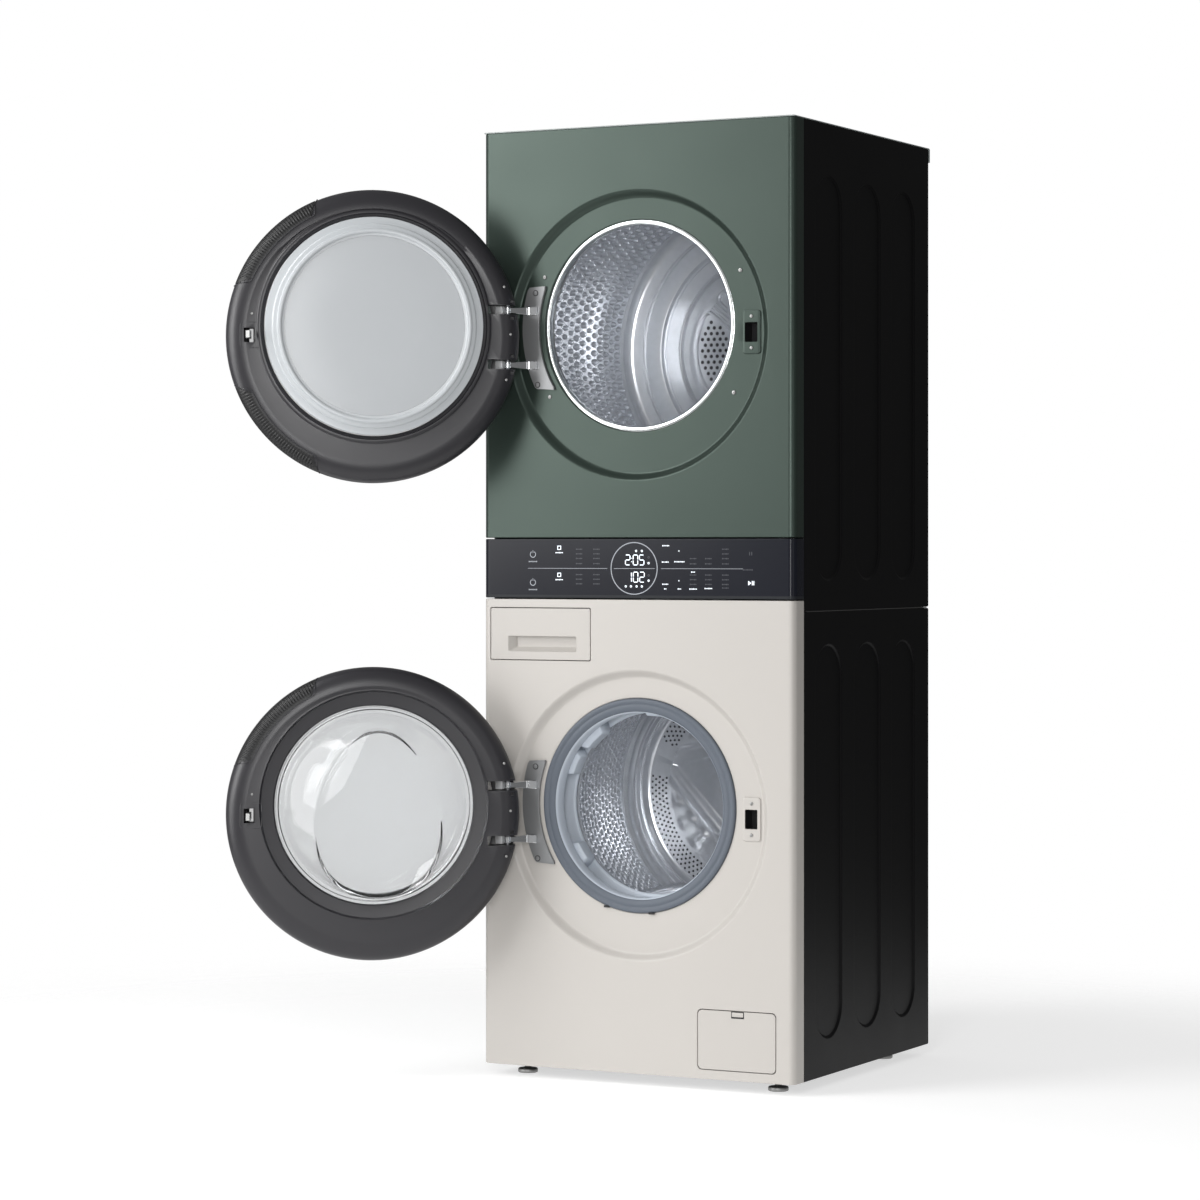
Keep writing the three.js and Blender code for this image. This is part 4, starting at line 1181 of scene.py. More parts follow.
# %% [markdown]
# ## Dryer drum
# The drum is one turned sheet of bright steel. Its wall is embossed with long scales that lift
# the laundry, beads stiffen the rear corner, and the rear wall has bands that step down to three
# windows. One profile, turned about the axis, makes the sheet, and the scales are copies set on
# its wall.

# %% Steel domes
def dome(length, width, height, lean, sides=10):
    """A closed embossed bump that faces +Z, long in Y, with its crest moved by lean."""
    build = Builder()
    rings = []
    for share, rise in ((1.0, -0.04), (0.92, 0.22), (0.66, 0.68), (0.32, 0.95)):
        shift = lean * (1 - share) * length
        rings.append([Vector((share * width / 2 * c, share * length / 2 * s + shift, rise * height))
                      for c, s in round_points(1, sides)])
    made = build.loft(rings)
    build.fan(made[-1], (0, lean * length, height))
    build.cap(made[0])
    return build.mesh("dome")


def disc(radius, height, sides):
    build = Builder()
    build.bar([level_circle((0, 0), radius, z, sides) for z in (-0.0003, height)])
    return build.mesh("disc")


def on_wall(centre, radius, angle, y, size=1.0):
    """A place on a drum's wall that looks at the axis."""
    c, s = math.cos(angle), math.sin(angle)
    return ((centre[0] + radius * c, y, centre[1] + radius * s), (-c, 0, -s), (0, 1, 0), size)


def staggered(centre, radius, around, rows, sizes):
    """Places on a drum's wall in rows, each second row shifted by half a step."""
    places = []
    for number, y in enumerate(rows):
        for i in range(around):
            angle = 2 * math.pi * (i + 0.5 * (number % 2)) / around
            size = sizes(angle, number)
            if size > 0:
                places.append(on_wall(centre, radius, angle, y, size))
    return places


# %% Dryer drum sheet
dryer_axis = Vector((0, joints["dryer_drum_spin"]["pos_m"][2]))
drum_low, drum_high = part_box("dryer_drum")
DRUM_RADIUS = (drum_high.x - drum_low.x) / 2
DRUM_SHEET = 0.0012
DRYER_INSIDE = DRUM_RADIUS - 0.0026
BEAD_RISE, BEAD_LONG = (0.0, 0.0016, 0.0026, 0.0016, 0.0), (0.0, 0.0012, 0.0032, 0.0052, 0.0064)
dryer_profile = [
    (0.2135, 0.0440), (0.2140, 0.0428), (0.2160, 0.0425), (0.2600, 0.0470), (0.2670, 0.0490)
]
dryer_profile += [(DRYER_INSIDE, y) for y in (0.0530, 0.15, 0.25, 0.35, 0.4640)]
for start in (0.4660, 0.4740):
    dryer_profile += [
        (DRYER_INSIDE - rise, start + step)
        for rise, step in zip(BEAD_RISE, BEAD_LONG)
    ]
dryer_profile += [
    (DRYER_INSIDE, 0.4830), (0.2680, 0.4880), (0.2655, 0.4925), (0.2610, 0.4958), (0.2560, 0.4978),
    (0.2440, 0.5010), (0.2405, 0.5020), (0.2385, 0.5050), (0.2370, 0.5055), (0.2355, 0.5030),
    (0.2335, 0.5020), (0.2200, 0.5042), (0.2080, 0.5072), (0.2045, 0.5085), (0.2025, 0.5130),
    (0.2005, 0.5150), (0.1980, 0.5150), (0.1962, 0.5128), (0.1945, 0.5112), (0.1820, 0.5108),
    (0.1690, 0.5106), (0.1675, 0.5090), (0.1660, 0.5062), (0.1642, 0.5055), (0.1625, 0.5065),
    (0.1612, 0.5100), (0.1595, 0.5122), (0.1500, 0.5128), (0.1400, 0.5130),
]


def turned_sheet(name, profile, centre, body):
    """A drum of bright sheet whose faces look at a point on its axis."""
    build = Builder()
    build.loft(turned(profile, centre))
    made = piece(name, build, drum_steel, body, [body], smooth=34)
    inside = Vector((centre[0], 0.25, centre[1]))
    far = max(made.data.polygons, key=lambda face: (face.center - inside).length)
    if far.normal.dot(inside - far.center) < 0:
        made.data.flip_normals()
    return thicken(made, DRUM_SHEET)


turned_sheet("dryer_drum_sheet", dryer_profile, dryer_axis, "dryer_drum")
scale_rows = [0.062 + 0.0230 * i for i in range(18)]
scales = copies("dryer_drum_scales", dome(0.027, 0.0130, 0.0036, 0.22),
                staggered(dryer_axis, DRYER_INSIDE, 104, scale_rows,
                          lambda angle, row: 0.9 + 0.14 * math.sin(7 * angle + row * 1.7)),
                drum_steel, "dryer_drum")
print("dryer drum scales:", len(scales.data.polygons), "faces")

# %% [markdown]
# ### Rear windows
# The warm air comes through three perforated windows in the rear wall. Real holes beat dark dots,
# since they show the plate's edge. Each window is a flat outline filled round its holes, and each
# hole's rim is drawn back. A raised bead runs round each window, and the spokes between them
# carry three lines.

# %% Rear wall of the dryer drum
WINDOW_OUTER, WINDOW_INNER = 0.1335, 0.036
SPOKE_HALF = 0.0125
SPOKE_ANGLE = math.radians(140)
THIRD = 2 * math.pi / 3
REAR_WALL = 0.5130
HOLE_RADIUS, HOLE_PITCH = 0.0036, 0.0122
ARC_STEPS, INNER_STEPS = 40, 8


def window_outline(index, inset):
    """A sector between two spokes, with rounded corners, as (x, z) points round the axis."""
    start = SPOKE_ANGLE + index * THIRD
    end = start + THIRD
    outer, inner = WINDOW_OUTER - inset, WINDOW_INNER + inset
    half = SPOKE_HALF + inset
    corner = max(0.014 - inset, 0.003)

    def point(r, a):
        return Vector((r * math.cos(a), r * math.sin(a)))

    def along(r, side):
        a = math.asin(min(half / r, 0.99))
        return start + a if side < 0 else end - a

    low, high = along(outer, -1) + corner / outer, along(outer, 1) - corner / outer
    points = [point(outer, low + (high - low) * i / ARC_STEPS) for i in range(ARC_STEPS + 1)]
    tip = point(outer, along(outer, 1))
    leg = point(outer - corner, along(outer - corner, 1))
    points += [
        point(outer, high).lerp(tip, t).lerp(tip.lerp(leg, t), t)
        for t in (0.33, 0.67)
    ] + [leg]
    low_in, high_in = along(inner, -1), along(inner, 1)
    if high_in > low_in:
        points += [
            point(inner, high_in + (low_in - high_in) * i / INNER_STEPS)
            for i in range(INNER_STEPS + 1)
        ]
    else:
        points.append(point(inner, (start + end) / 2))
    leg = point(outer - corner, along(outer - corner, -1))
    tip = point(outer, along(outer, -1))
    points += [leg] + [
        leg.lerp(tip, t).lerp(tip.lerp(point(outer, low), t), t)
        for t in (0.33, 0.67)
    ]
    return points


def inside_outline(point, outline):
    """Whether a point is inside: a line from it crosses the outline an odd number of times."""
    hits = False
    for a, b in zip(outline, outline[1:] + outline[:1]):
        if (a.y > point.y) != (b.y > point.y) and point.x < (b.x - a.x) * (
            point.y - a.y
        ) / (b.y - a.y) + a.x:
            hits = not hits
    return hits


def hex_grid(reach, pitch):
    """Points in staggered rows that cover a square about the origin."""
    rows = int(reach / (pitch * 0.866)) + 1
    return [Vector((pitch * (i + 0.5 * (row % 2)), pitch * 0.866 * row))
            for row in range(-rows, rows + 1) for i in range(-rows, rows + 1)]


def plate_with_holes(build, place, outlines, holes, radius, sides=10):
    """Fills a flat plate round its holes: place(point, depth) puts a point on the real wall."""
    rims = []
    for hole in holes:
        loop = [Vector((hole.x + u, hole.y + v)) for u, v in round_points(radius, sides)]
        rims.append(build.loft([[place(p, depth) for p in loop] for depth in (0, SHEET)])[0])
    build.fill_flat(outlines + rims)


def rear_shade(name, body, rings, middle=None):
    """A dark sheet behind the holes of a rear wall."""
    build = Builder()
    made = build.loft(rings)
    if middle:
        build.fan(made[-1], middle)
    cover = piece(name, build, dark_plastic, body, [body])
    face_towards(cover, TO_FRONT)
    thicken(cover, THIN_SHEET)


def dryer_wall(point, depth):
    return Vector((point.x, REAR_WALL + depth, dryer_axis.y + point.y))


def dryer_rear():
    """The rear wall with three perforated windows. Gives the number of holes."""
    build = Builder()
    rims = [build.ring(circle_at(dryer_axis, 0.1400, REAR_WALL))]
    steps = [
        (-0.0035, 0), (-0.0028, -0.0024), (-0.0012, -0.0034), (0.0006, -0.0034), (0.0022, -0.0022),
        (0.0030, 0.0002), (0.0036, 0.0016)
    ]
    count = 0
    for index in range(3):
        loops = build.loft([[dryer_wall(p, depth) for p in window_outline(index, inset)]
                            for inset, depth in steps])
        rims.append(loops[0])
        edge = window_outline(index, 0.0090)
        holes = [hole for hole in hex_grid(WINDOW_OUTER, HOLE_PITCH) if inside_outline(hole, edge)]
        count += len(holes)
        plate_with_holes(
            build, lambda p, depth: dryer_wall(p, 0.0016 + depth), [loops[-1]], holes, HOLE_RADIUS
        )
    build.fill_flat(rims)
    made = piece(
        "dryer_rear_wall", build.mesh("dryer_rear_wall", weld=0.00001), drum_steel, "dryer_drum",
        ["dryer_drum"], smooth=30
    )
    face_towards(made, TO_FRONT)
    dryer_ribs()
    back = REAR_WALL + 0.0052
    rear_shade(
        "dryer_rear_shade", "dryer_drum",
        [circle_at(dryer_axis, r, back, 64) for r in (0.134, 0.07)],
        (dryer_axis.x, back, dryer_axis.y)
    )
    return count


def dryer_ribs():
    """Three lines on each spoke between the windows, and the hub where the spokes meet."""
    lines = Builder()
    for index in range(3):
        a = SPOKE_ANGLE + index * THIRD
        along, across = Vector((math.cos(a), math.sin(a))), Vector((-math.sin(a), math.cos(a)))
        for offset in (-0.0062, 0, 0.0062):
            loops = []
            for inset, depth in ((0, 0.0004), (0.0004, -0.0012), (0.0012, -0.0018)):
                half, low, high = 0.0022 - inset, 0.040 + inset, 0.128 - inset
                corners = [(low, -half), (high, -half), (high, half), (low, half)]
                loops.append(
                    [dryer_wall(along * u + across * (offset + v), depth) for u, v in corners]
                )
            lines.bar(loops)
    rows = ((0.032, 0.0006), (0.031, -0.0030), (0.027, -0.0048), (0.012, -0.0052))
    hub = lines.loft([circle_at(dryer_axis, r, REAR_WALL + depth, 48) for r, depth in rows])
    lines.fan(hub[-1], dryer_wall(Vector((0, 0)), rows[-1][1]))
    lines.cap(hub[0])
    piece("dryer_rear_ribs", lines, drum_steel, "dryer_drum", ["dryer_drum"], smooth=30)


print("dryer window holes:", dryer_rear())

# %% [markdown]
# ## Washer drum
# The washer's wall is quilted: small pillows stand between drain holes. Three hollow lifters run
# along it. The rear wall has beads, three perforated arcs and a triangular star pressed into its
# middle. The star is a height map over a polar grid, since its straight ribs cross the round
# wall.

# %% Washer drum sheet
washer_axis = Vector((0, joints["washer_drum_spin"]["pos_m"][2]))
WASH_INSIDE = 0.2342
WASH_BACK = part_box("washer_drum")[1].y - 0.0042
WASH_BEAD = ((0.0, 0.0), (0.0022, 0.0014), (0.0032, 0.0036), (0.0022, 0.0058), (0.0, 0.0072))
washer_profile = [
    (0.1660, 0.1065), (0.1650, 0.1035), (0.1665, 0.1008), (0.1700, 0.0998), (0.1760, 0.1000),
    (0.2250, 0.1052), (0.2318, 0.1075)
]
washer_profile += [(WASH_INSIDE, y) for y in (0.1120, 0.20, 0.30, 0.4080)]
for start in (0.4100, 0.4200):
    washer_profile += [(WASH_INSIDE - rise, start + step) for rise, step in WASH_BEAD]
washer_profile += [
    (0.2335, 0.4330), (0.2310, 0.4375), (0.2275, 0.4400), (0.2250, 0.4392), (0.2225, 0.4368),
    (0.2200, 0.4372), (0.2180, 0.4405), (0.2158, 0.4440), (0.2135, 0.4430), (0.2112, 0.4396),
    (0.2090, 0.4396), (0.2068, 0.4438), (0.2045, 0.4480), (0.2015, WASH_BACK - 0.0004),
    (0.1985, WASH_BACK)
]
turned_sheet("washer_drum_sheet", washer_profile, washer_axis, "washer_drum")

LIFTER_ANGLES = [math.radians(120 + 120 * i) for i in range(3)]
LIFTER_CLEAR = 0.165  # radians kept free on each side of a lifter
QUILT_START, QUILT_PITCH, QUILT_AROUND = 0.124, 0.0128, 98


def away_from(angle, others):
    """The smallest turn between an angle and any of the others."""
    return min(abs((angle - other + math.pi) % (2 * math.pi) - math.pi) for other in others)


def clear_of_lifters(angle, row):
    return 0.0 if away_from(angle, LIFTER_ANGLES) < LIFTER_CLEAR else 1.0


def quilt(shift, count):
    """Places between the lifters, in staggered rows that start shift rows in."""
    rows = [QUILT_START + QUILT_PITCH * (i + shift) for i in range(count)]
    return staggered(washer_axis, WASH_INSIDE, QUILT_AROUND, rows, clear_of_lifters)


pillows = copies(
    "washer_drum_pillows", dome(0.0138, 0.0138, 0.0024, 0.0, 8), quilt(0, 22), drum_steel,
    "washer_drum"
)
# The drain holes are not cut: dark discs stand on the wall in their place, as painted shade.
drain_shades = copies(
    "washer_drum_drains", disc(0.0019, 0.0003, 7), quilt(0.5, 21), dark_plastic, "washer_drum"
)
print("pillows and drains:", len(pillows.data.polygons), len(drain_shades.data.polygons), "faces")

# %% Lifters
LIFTER_FRONT, LIFTER_BACK = 0.132, 0.428
# One half of the section, as (across, out from the wall), and the front end, as (along, share
# of the height).
LIFTER_SECTION = (
    (0.004, -0.0375), (0.0095, -0.0355), (0.0135, -0.030), (0.019, -0.0185), (0.030, -0.002),
    (0.033, 0.002),
)
LIFTER_ROWS = ((0, 0.05), (0.004, 0.45), (0.012, 0.80), (0.026, 0.97), (0.045, 1.0))


def lifter_bars():
    """Three hollow ribs along the wall, lower and narrower towards both ends."""
    section = [(-u, v) for u, v in reversed(LIFTER_SECTION)] + list(LIFTER_SECTION)
    ends = [(LIFTER_FRONT + along, share) for along, share in LIFTER_ROWS]
    ends += [(LIFTER_BACK - 0.045, 1.0), (LIFTER_BACK - 0.022, 0.96), (LIFTER_BACK - 0.010, 0.80),
             (LIFTER_BACK - 0.003, 0.45), (LIFTER_BACK, 0.05)]
    build = Builder()
    for angle in LIFTER_ANGLES:
        out = Vector((math.cos(angle), math.sin(angle)))
        side = Vector((-out.y, out.x))
        rows = []
        for y, share in ends:
            row = []
            spread = 0.55 + 0.45 * share
            for u, v in section:
                height = min(v, 0) * share + max(v, 0)
                flat = washer_axis + out * (WASH_INSIDE + height) + side * (u * spread)
                row.append(Vector((flat.x, y, flat.y)))
            rows.append(row)
        build.bar(rows)
    return piece("washer_lifters", build, drum_steel, "washer_drum", ["washer_drum"], smooth=50)


lifter_bars()

# %% Rear wall of the washer drum
STRIP_OUTER, STRIP_INNER = 0.1985, 0.1600
STAR_REACH = 0.0915
STAR_TURN = math.radians(223)
STAR_ANGLES = [STAR_TURN + i * 2 * math.pi / 3 for i in range(3)]
ARC_HALF = math.radians(50)
STAR_RINGS = 44


def ridge(distance, width):
    """A smooth rib: 1 on its line, 0 beyond its width."""
    return smooth_step(max(0.0, 1 - (distance / width) ** 2))


def star_relief(x, z):
    """How far the pressed star stands forward of the rear wall at a point round the axis."""
    r = math.hypot(x, z)
    angle = math.atan2(z, x)
    height = 0.0
    for a in STAR_ANGLES:
        across = x * math.cos(a) + z * math.sin(a)
        height = max(height, 0.0085 * ridge(across - STAR_REACH, 0.017))
        beyond = across - STAR_REACH - 0.016
        if beyond > 0:  # the flutes between a rib and the perforated strip
            rise = min(beyond / 0.012, 1.0) * min(max(STRIP_INNER - 0.004 - r, 0) / 0.012, 1.0)
            flute = 0.5 + 0.5 * math.cos((angle - a) * 21)
            height += 0.0042 * rise * (0.25 + 0.75 * flute ** 1.5)
    height += 0.010 * smooth_step(max(0.0, 1 - r / 0.075))  # the boss in the middle
    return height * min(max(STRIP_INNER - r, 0) / 0.004, 1.0)


def strip_holes():
    """Five staggered rows of holes, in three arcs."""
    holes = []
    for row in range(5):
        for i in range(110):
            t = 2 * math.pi * (i + 0.5 * (row % 2)) / 110
            if away_from(t, STAR_ANGLES) < ARC_HALF:
                r = 0.1655 + 0.0071 * row
                holes.append(Vector((r * math.cos(t), r * math.sin(t))))
    return holes


def washer_wall(x, z, depth):
    return Vector((x, WASH_BACK + depth, washer_axis.y + z))


def washer_rear():
    build = Builder()
    radii = [STRIP_INNER * (1 - i / STAR_RINGS) for i in range(STAR_RINGS)]
    made = build.loft(
        [[washer_wall(x, z, -star_relief(x, z)) for x, z in round_points(r, 288)] for r in radii]
    )
    build.fan(made[-1], washer_wall(0, 0, -star_relief(0, 0)))
    outer = build.ring(circle_at(washer_axis, STRIP_OUTER, WASH_BACK))
    holes = strip_holes()
    plate_with_holes(
        build, lambda p, depth: washer_wall(p.x, p.y, depth), [outer, made[0]], holes, 0.0023, 8
    )
    made = piece("washer_rear_wall", build, drum_steel, "washer_drum", ["washer_drum"], smooth=50)
    face_towards(made, TO_FRONT)
    rear_shade("washer_rear_shade", "washer_drum",
               [circle_at(washer_axis, r, WASH_BACK + 0.0024, 96) for r in (0.199, 0.158)])
    return len(holes)


print("washer rear holes:", washer_rear())

# %% [markdown]
# ## Opening ring and door gasket
# A polished ring lines the dryer's mouth. The washer's mouth is a rubber bellows: a rounded bead
# meets the glass, a lip turns in, and a fold behind it lets the tub move. Both are turned
# profiles. Moulded pads bridge the fold where the water jets and the drain sit, so they are laid
# in as short blocks.

# %% Dryer opening ring
FINE_ROUND = 256
opening_mouth = (ring_low.z + ring_high.z) / 2
RING_OUTSIDE = MOUTH_EDGE - 0.0005
RING_INSIDE = RING_OUTSIDE - 0.0080
ring_profile = [
    (RING_INSIDE + 0.0002, ring_high.y), (RING_INSIDE, 0.0200), (RING_INSIDE + 0.0002, 0.0155),
    (RING_INSIDE + 0.0012, 0.0134), (RING_INSIDE + 0.0030, 0.0126), (RING_INSIDE + 0.0055, 0.0128),
    (RING_OUTSIDE - 0.0004, 0.0136), (RING_OUTSIDE, 0.0150), (RING_OUTSIDE, ring_high.y),
]
mouth_ring = Builder()
mouth_ring.band(turned(ring_profile, (0, opening_mouth), FINE_ROUND))
piece("dryer_mouth_ring", mouth_ring, ring_steel, "cabinet", ["dryer_opening_ring"])

# %% Gasket
gasket_mouth = (gasket_low.z + gasket_high.z) / 2
gasket_profile = [
    (0.1852, 0.0340), (0.1852, 0.0120), (0.1848, 0.0095), (0.1832, 0.0080), (0.1805, 0.0074),
    (0.1775, 0.0078), (0.1757, 0.0092), (0.1745, 0.0096), (0.1728, 0.0084), (0.1700, 0.0082),
    (0.1650, 0.0092), (0.1620, 0.0112), (0.1602, 0.0145), (0.1596, 0.0200), (0.1596, 0.0280),
    (0.1598, 0.0360), (0.1606, 0.0400), (0.1630, 0.0420), (0.1680, 0.0435), (0.1760, 0.0500),
    (0.1830, 0.0580), (0.1852, 0.0660), (0.1835, 0.0730), (0.1775, 0.0768), (0.1700, 0.0778),
    (0.1625, 0.0772), (0.1592, 0.0782), (0.1580, 0.0808), (0.1592, 0.0836), (0.1640, 0.0848),
    (0.1760, 0.0855), (0.1900, 0.0858), (0.1950, 0.0852), (0.1954, 0.0800), (0.1954, 0.0620),
    (0.1900, 0.0530), (0.1860, 0.0420),
]
PALE_ROWS = (*range(11, 18), *range(22, 30))  # rows of the profile that catch the light


def gasket():
    build = Builder()
    build.band(turned(gasket_profile, (0, gasket_mouth), FINE_ROUND))
    for number, face in enumerate(build.bm.faces):
        face.material_index = 0 if number // FINE_ROUND in PALE_ROWS else 1
    piece(
        "washer_gasket", build, [gasket_rubber, gasket_shade], "cabinet", ["door_gasket"], smooth=60
    )


def gasket_pad(name, start, end, reach):
    """A block that bridges the fold between two angles."""
    section = [
        (0.1860, 0.0480), (0.1700, 0.0430), (reach + 0.004, 0.0436), (reach, 0.0466),
        (reach - 0.002, 0.0700), (reach + 0.001, 0.0760), (reach + 0.006, 0.0780), (0.1800, 0.0780),
        (0.1870, 0.0700)
    ]
    steps = 14
    rows = []
    for i in range(steps + 1):
        share = i / steps
        angle = math.radians(start + (end - start) * share)
        near_end = min(share, 1 - share) * steps
        draw = 0.0 if near_end >= 2 else 0.010 * (1 - near_end / 2) ** 2  # rounds off the ends
        drawn = [(min(r + draw, 0.187), y) for r, y in section]
        rows.append(
            [Vector((r * math.cos(angle), y, gasket_mouth + r * math.sin(angle))) for r, y in drawn]
        )
    build = Builder()
    build.bar(rows)
    # The pads take the pale rubber, which is painted light.
    piece(name, build, gasket_rubber, "cabinet", ["door_gasket"], smooth=40)


gasket()
PADS = (
    (124, 143, 0.1500), (147, 163, 0.1535), (206, 221, 0.1530), (82, 92, 0.1540), (262, 274, 0.1650)
)
for number, (start, end, reach) in enumerate(PADS):
    gasket_pad(f"gasket_pad_{number + 1}", start, end, reach)
tabs = Builder()
TAB_RADIUS = 0.1862
for a in (math.radians(-109), math.radians(-82)):
    x, z = TAB_RADIUS * math.cos(a), gasket_mouth + TAB_RADIUS * math.sin(a)
    tabs.box((x - 0.005, 0.0072, z - 0.0016), (x + 0.005, 0.0115, z + 0.0018))
piece("gasket_tabs", tabs, dark_plastic, "cabinet", ["door_gasket"])
print("gasket done")

# %% [markdown]
# ## Marks on the control panel
# The panel is one sheet of dark glass with a printed ring, two divider lines and lit digits.
# Print could be a colour pattern in the glass, but thin raised strokes stay crisp at any
# distance. Strokes gather in three meshes: lit marks, pale print, and the faint print of the
# choices that are off.

# %% Control panel marks
PRINT = 0.00015  # how far a mark stands off the glass
DISPLAY = (-0.003, 0.890)
DISPLAY_RADIUS = 0.0445
SEGMENTS = {"0": "abcdef", "1": "bc", "2": "abged", "5": "afgcd"}
SEGMENT_AT = {
    "a": (0, 2), "d": (0, -2), "g": (0, 0), "b": (1, 1), "c": (1, -1), "e": (-1, -1), "f": (-1, 1)
}
# A digit's half width, a quarter of its height, and half the width of its strokes.
DIGIT_HALF, DIGIT_QUARTER, DIGIT_LINE = 0.0044, 0.0043, 0.0008


def stroke(build, x, z, half_x, half_z):
    build.box((x - half_x, -PRINT, z - half_z), (x + half_x, PRINT, z + half_z))


def digit(build, x, z, name):
    """A seven-segment digit with its middle at (x, z)."""
    for segment in SEGMENTS[name]:
        across, up = SEGMENT_AT[segment]
        if across:
            stroke(
                build, x + across * DIGIT_HALF, z + up * DIGIT_QUARTER, DIGIT_LINE,
                DIGIT_QUARTER - 0.0009
            )
        else:
            stroke(build, x, z + up * DIGIT_QUARTER, DIGIT_HALF - 0.0009, DIGIT_LINE)


def ring_stroke(build, x, z, radius, half, count=96, start=0.0, end=360.0):
    """A printed circle, or an arc of it."""
    whole = end - start >= 360
    rows = []
    for i in range(count if whole else count + 1):
        a = math.radians(start + (end - start) * i / count)
        rows.append([Vector((x + r * math.cos(a), y, z + r * math.sin(a)))
                     for r, y in ((radius - half, PRINT), (radius - half, -PRINT),
                                  (radius + half, -PRINT), (radius + half, PRINT))])
    (build.band if whole else build.bar)(rows)


def label(build, x, z, half):
    """A row of short strokes that reads as small print without saying anything."""
    count = max(2, round(half / 0.0013))
    step = 2 * half / count
    for i in range(count):
        stroke(build, x - half + step * (i + 0.5), z, step * 0.33, 0.0008 if i % 3 else 0.0011)


def power_mark(build, x, z):
    """An open circle with a stroke at its top: the general sign for power."""
    ring_stroke(build, x, z, 0.0052, 0.0006, 24, 120, 420)
    stroke(build, x, z + 0.0048, 0.0005, 0.0022)


def control_marks():
    lit, print_marks, faint = Builder(), Builder(), Builder()
    ring_stroke(print_marks, *DISPLAY, DISPLAY_RADIUS, 0.00075, 160)
    for x, half in ((-0.133, 0.078), (-0.0025, 0.0395), (0.1265, 0.0775)):
        stroke(print_marks, x, 0.8897, half, 0.00035)
    for z, names, spots in (
        (0.9045, "205", (-0.0152, -0.0003, 0.0117)), (0.8750, "102", (-0.0125, 0.0, 0.0123))
    ):
        for name, x in zip(names, spots):
            digit(lit, x, z, name)
        for rise in (-0.003, 0.003):
            stroke(lit, -0.0078, z + rise, 0.0007, 0.0007)
    for x, z in (
        (0.001, 0.920), (0.012, 0.920), (0.025, 0.899), (0.025, 0.869), (-0.019, 0.859),
        (-0.009, 0.859), (0.002, 0.859), (0.012, 0.859)
    ):
        ring_stroke(lit, x, z, 0.0015, 0.0005, 12)
    for x, z in ((0.025, 0.909), (0.025, 0.878)):
        ring_stroke(faint, x, z, 0.0015, 0.0005, 12)
    for z in (0.914, 0.865):
        power_mark(print_marks, -0.201, z)
        label(print_marks, -0.201, z - 0.0125, 0.0085)
    for z in (0.9255, 0.8785):
        for across in (-0.003, 0.003):
            stroke(lit, -0.149 + across, z, 0.0006, 0.0032)
        for up in (-0.003, 0.003):
            stroke(lit, -0.149, z + up, 0.0036, 0.0006)
        label(lit, -0.149, z - 0.0085, 0.0075)
    for x, z, half in (
        (0.058, 0.929, 0.007), (0.057, 0.901, 0.007), (0.084, 0.9015, 0.010), (0.110, 0.884, 0.004),
        (0.057, 0.863, 0.006), (0.057, 0.855, 0.0025), (0.084, 0.855, 0.0035),
        (0.110, 0.855, 0.0075), (0.139, 0.856, 0.0075)
    ):
        label(lit, x, z, half)
    for x, z in ((0.083, 0.920), (0.083, 0.869)):
        stroke(lit, x, z, 0.0009, 0.0009)
    for x in (-0.110, -0.076, 0.110, 0.139, 0.171):
        for z in (0.923, 0.915, 0.907, 0.898, 0.879, 0.871, 0.863):
            if not (x in (0.110, 0.139) and z > 0.91):
                label(faint, x, z, 0.0065)
    label(faint, 0.171, 0.857, 0.0065)
    label(faint, 0.213, 0.8880, 0.0095)
    for x in (0.2165, 0.2205):
        stroke(faint, x, 0.9155, 0.0007, 0.0030)
    for x in (0.2215, 0.2245):
        stroke(lit, x, 0.8655, 0.0007, 0.0036)
    lit.bar([[Vector((0.2140, y, 0.8615)), Vector((0.2140, y, 0.8695)), Vector((0.2195, y, 0.8655))]
             for y in (-PRINT, PRINT)])
    for name, build, material in (("lit", lit, display_light), ("print", print_marks, mark_print),
                                  ("faint", faint, faint_print)):
        made = piece(f"control_{name}_marks", build.mesh(name, weld=1e-7), material, "cabinet",
                     ["control_panel"], smooth=30)
        print(made.name, len(made.data.polygons), "faces")


control_marks()

# %% [markdown]
# ## Drawer and service cover
# The drawer front is a flat block with soft edges and a scooped handle: its floor lies deep under
# the upper edge and rises to the lower one, which gives the dark line on top. Behind it hangs an
# open tray. The service cover is a plate with rounded corners, and a small clip holds its upper
# edge.

# %% Drawer
def plan_loop(low, high, radius, z):
    """A rounded rectangle that lies flat: low and high are (x, y) corners."""
    return [Vector((p.x, p.z, z)) for p in rounded_box_loop(low, high, radius, 0, 6)]


def soft_block(build, low, high, radius, front, back, edge=0.0012, closed=True):
    """The rim of a block with soft front edges, from its front outline to its back."""
    loops = [
        rounded_box_loop(
            (low[0] + inset, low[1] + inset), (high[0] - inset, high[1] - inset),
            max(radius - inset, 0.0004), y
        )
        for inset, y in (
            (edge, front), (edge * 0.3, front + edge * 0.3), (0, front + edge), (0, back)
        )
    ]
    made = build.loft(loops)
    if closed:
        build.cap(made[-1])
    return made[0]


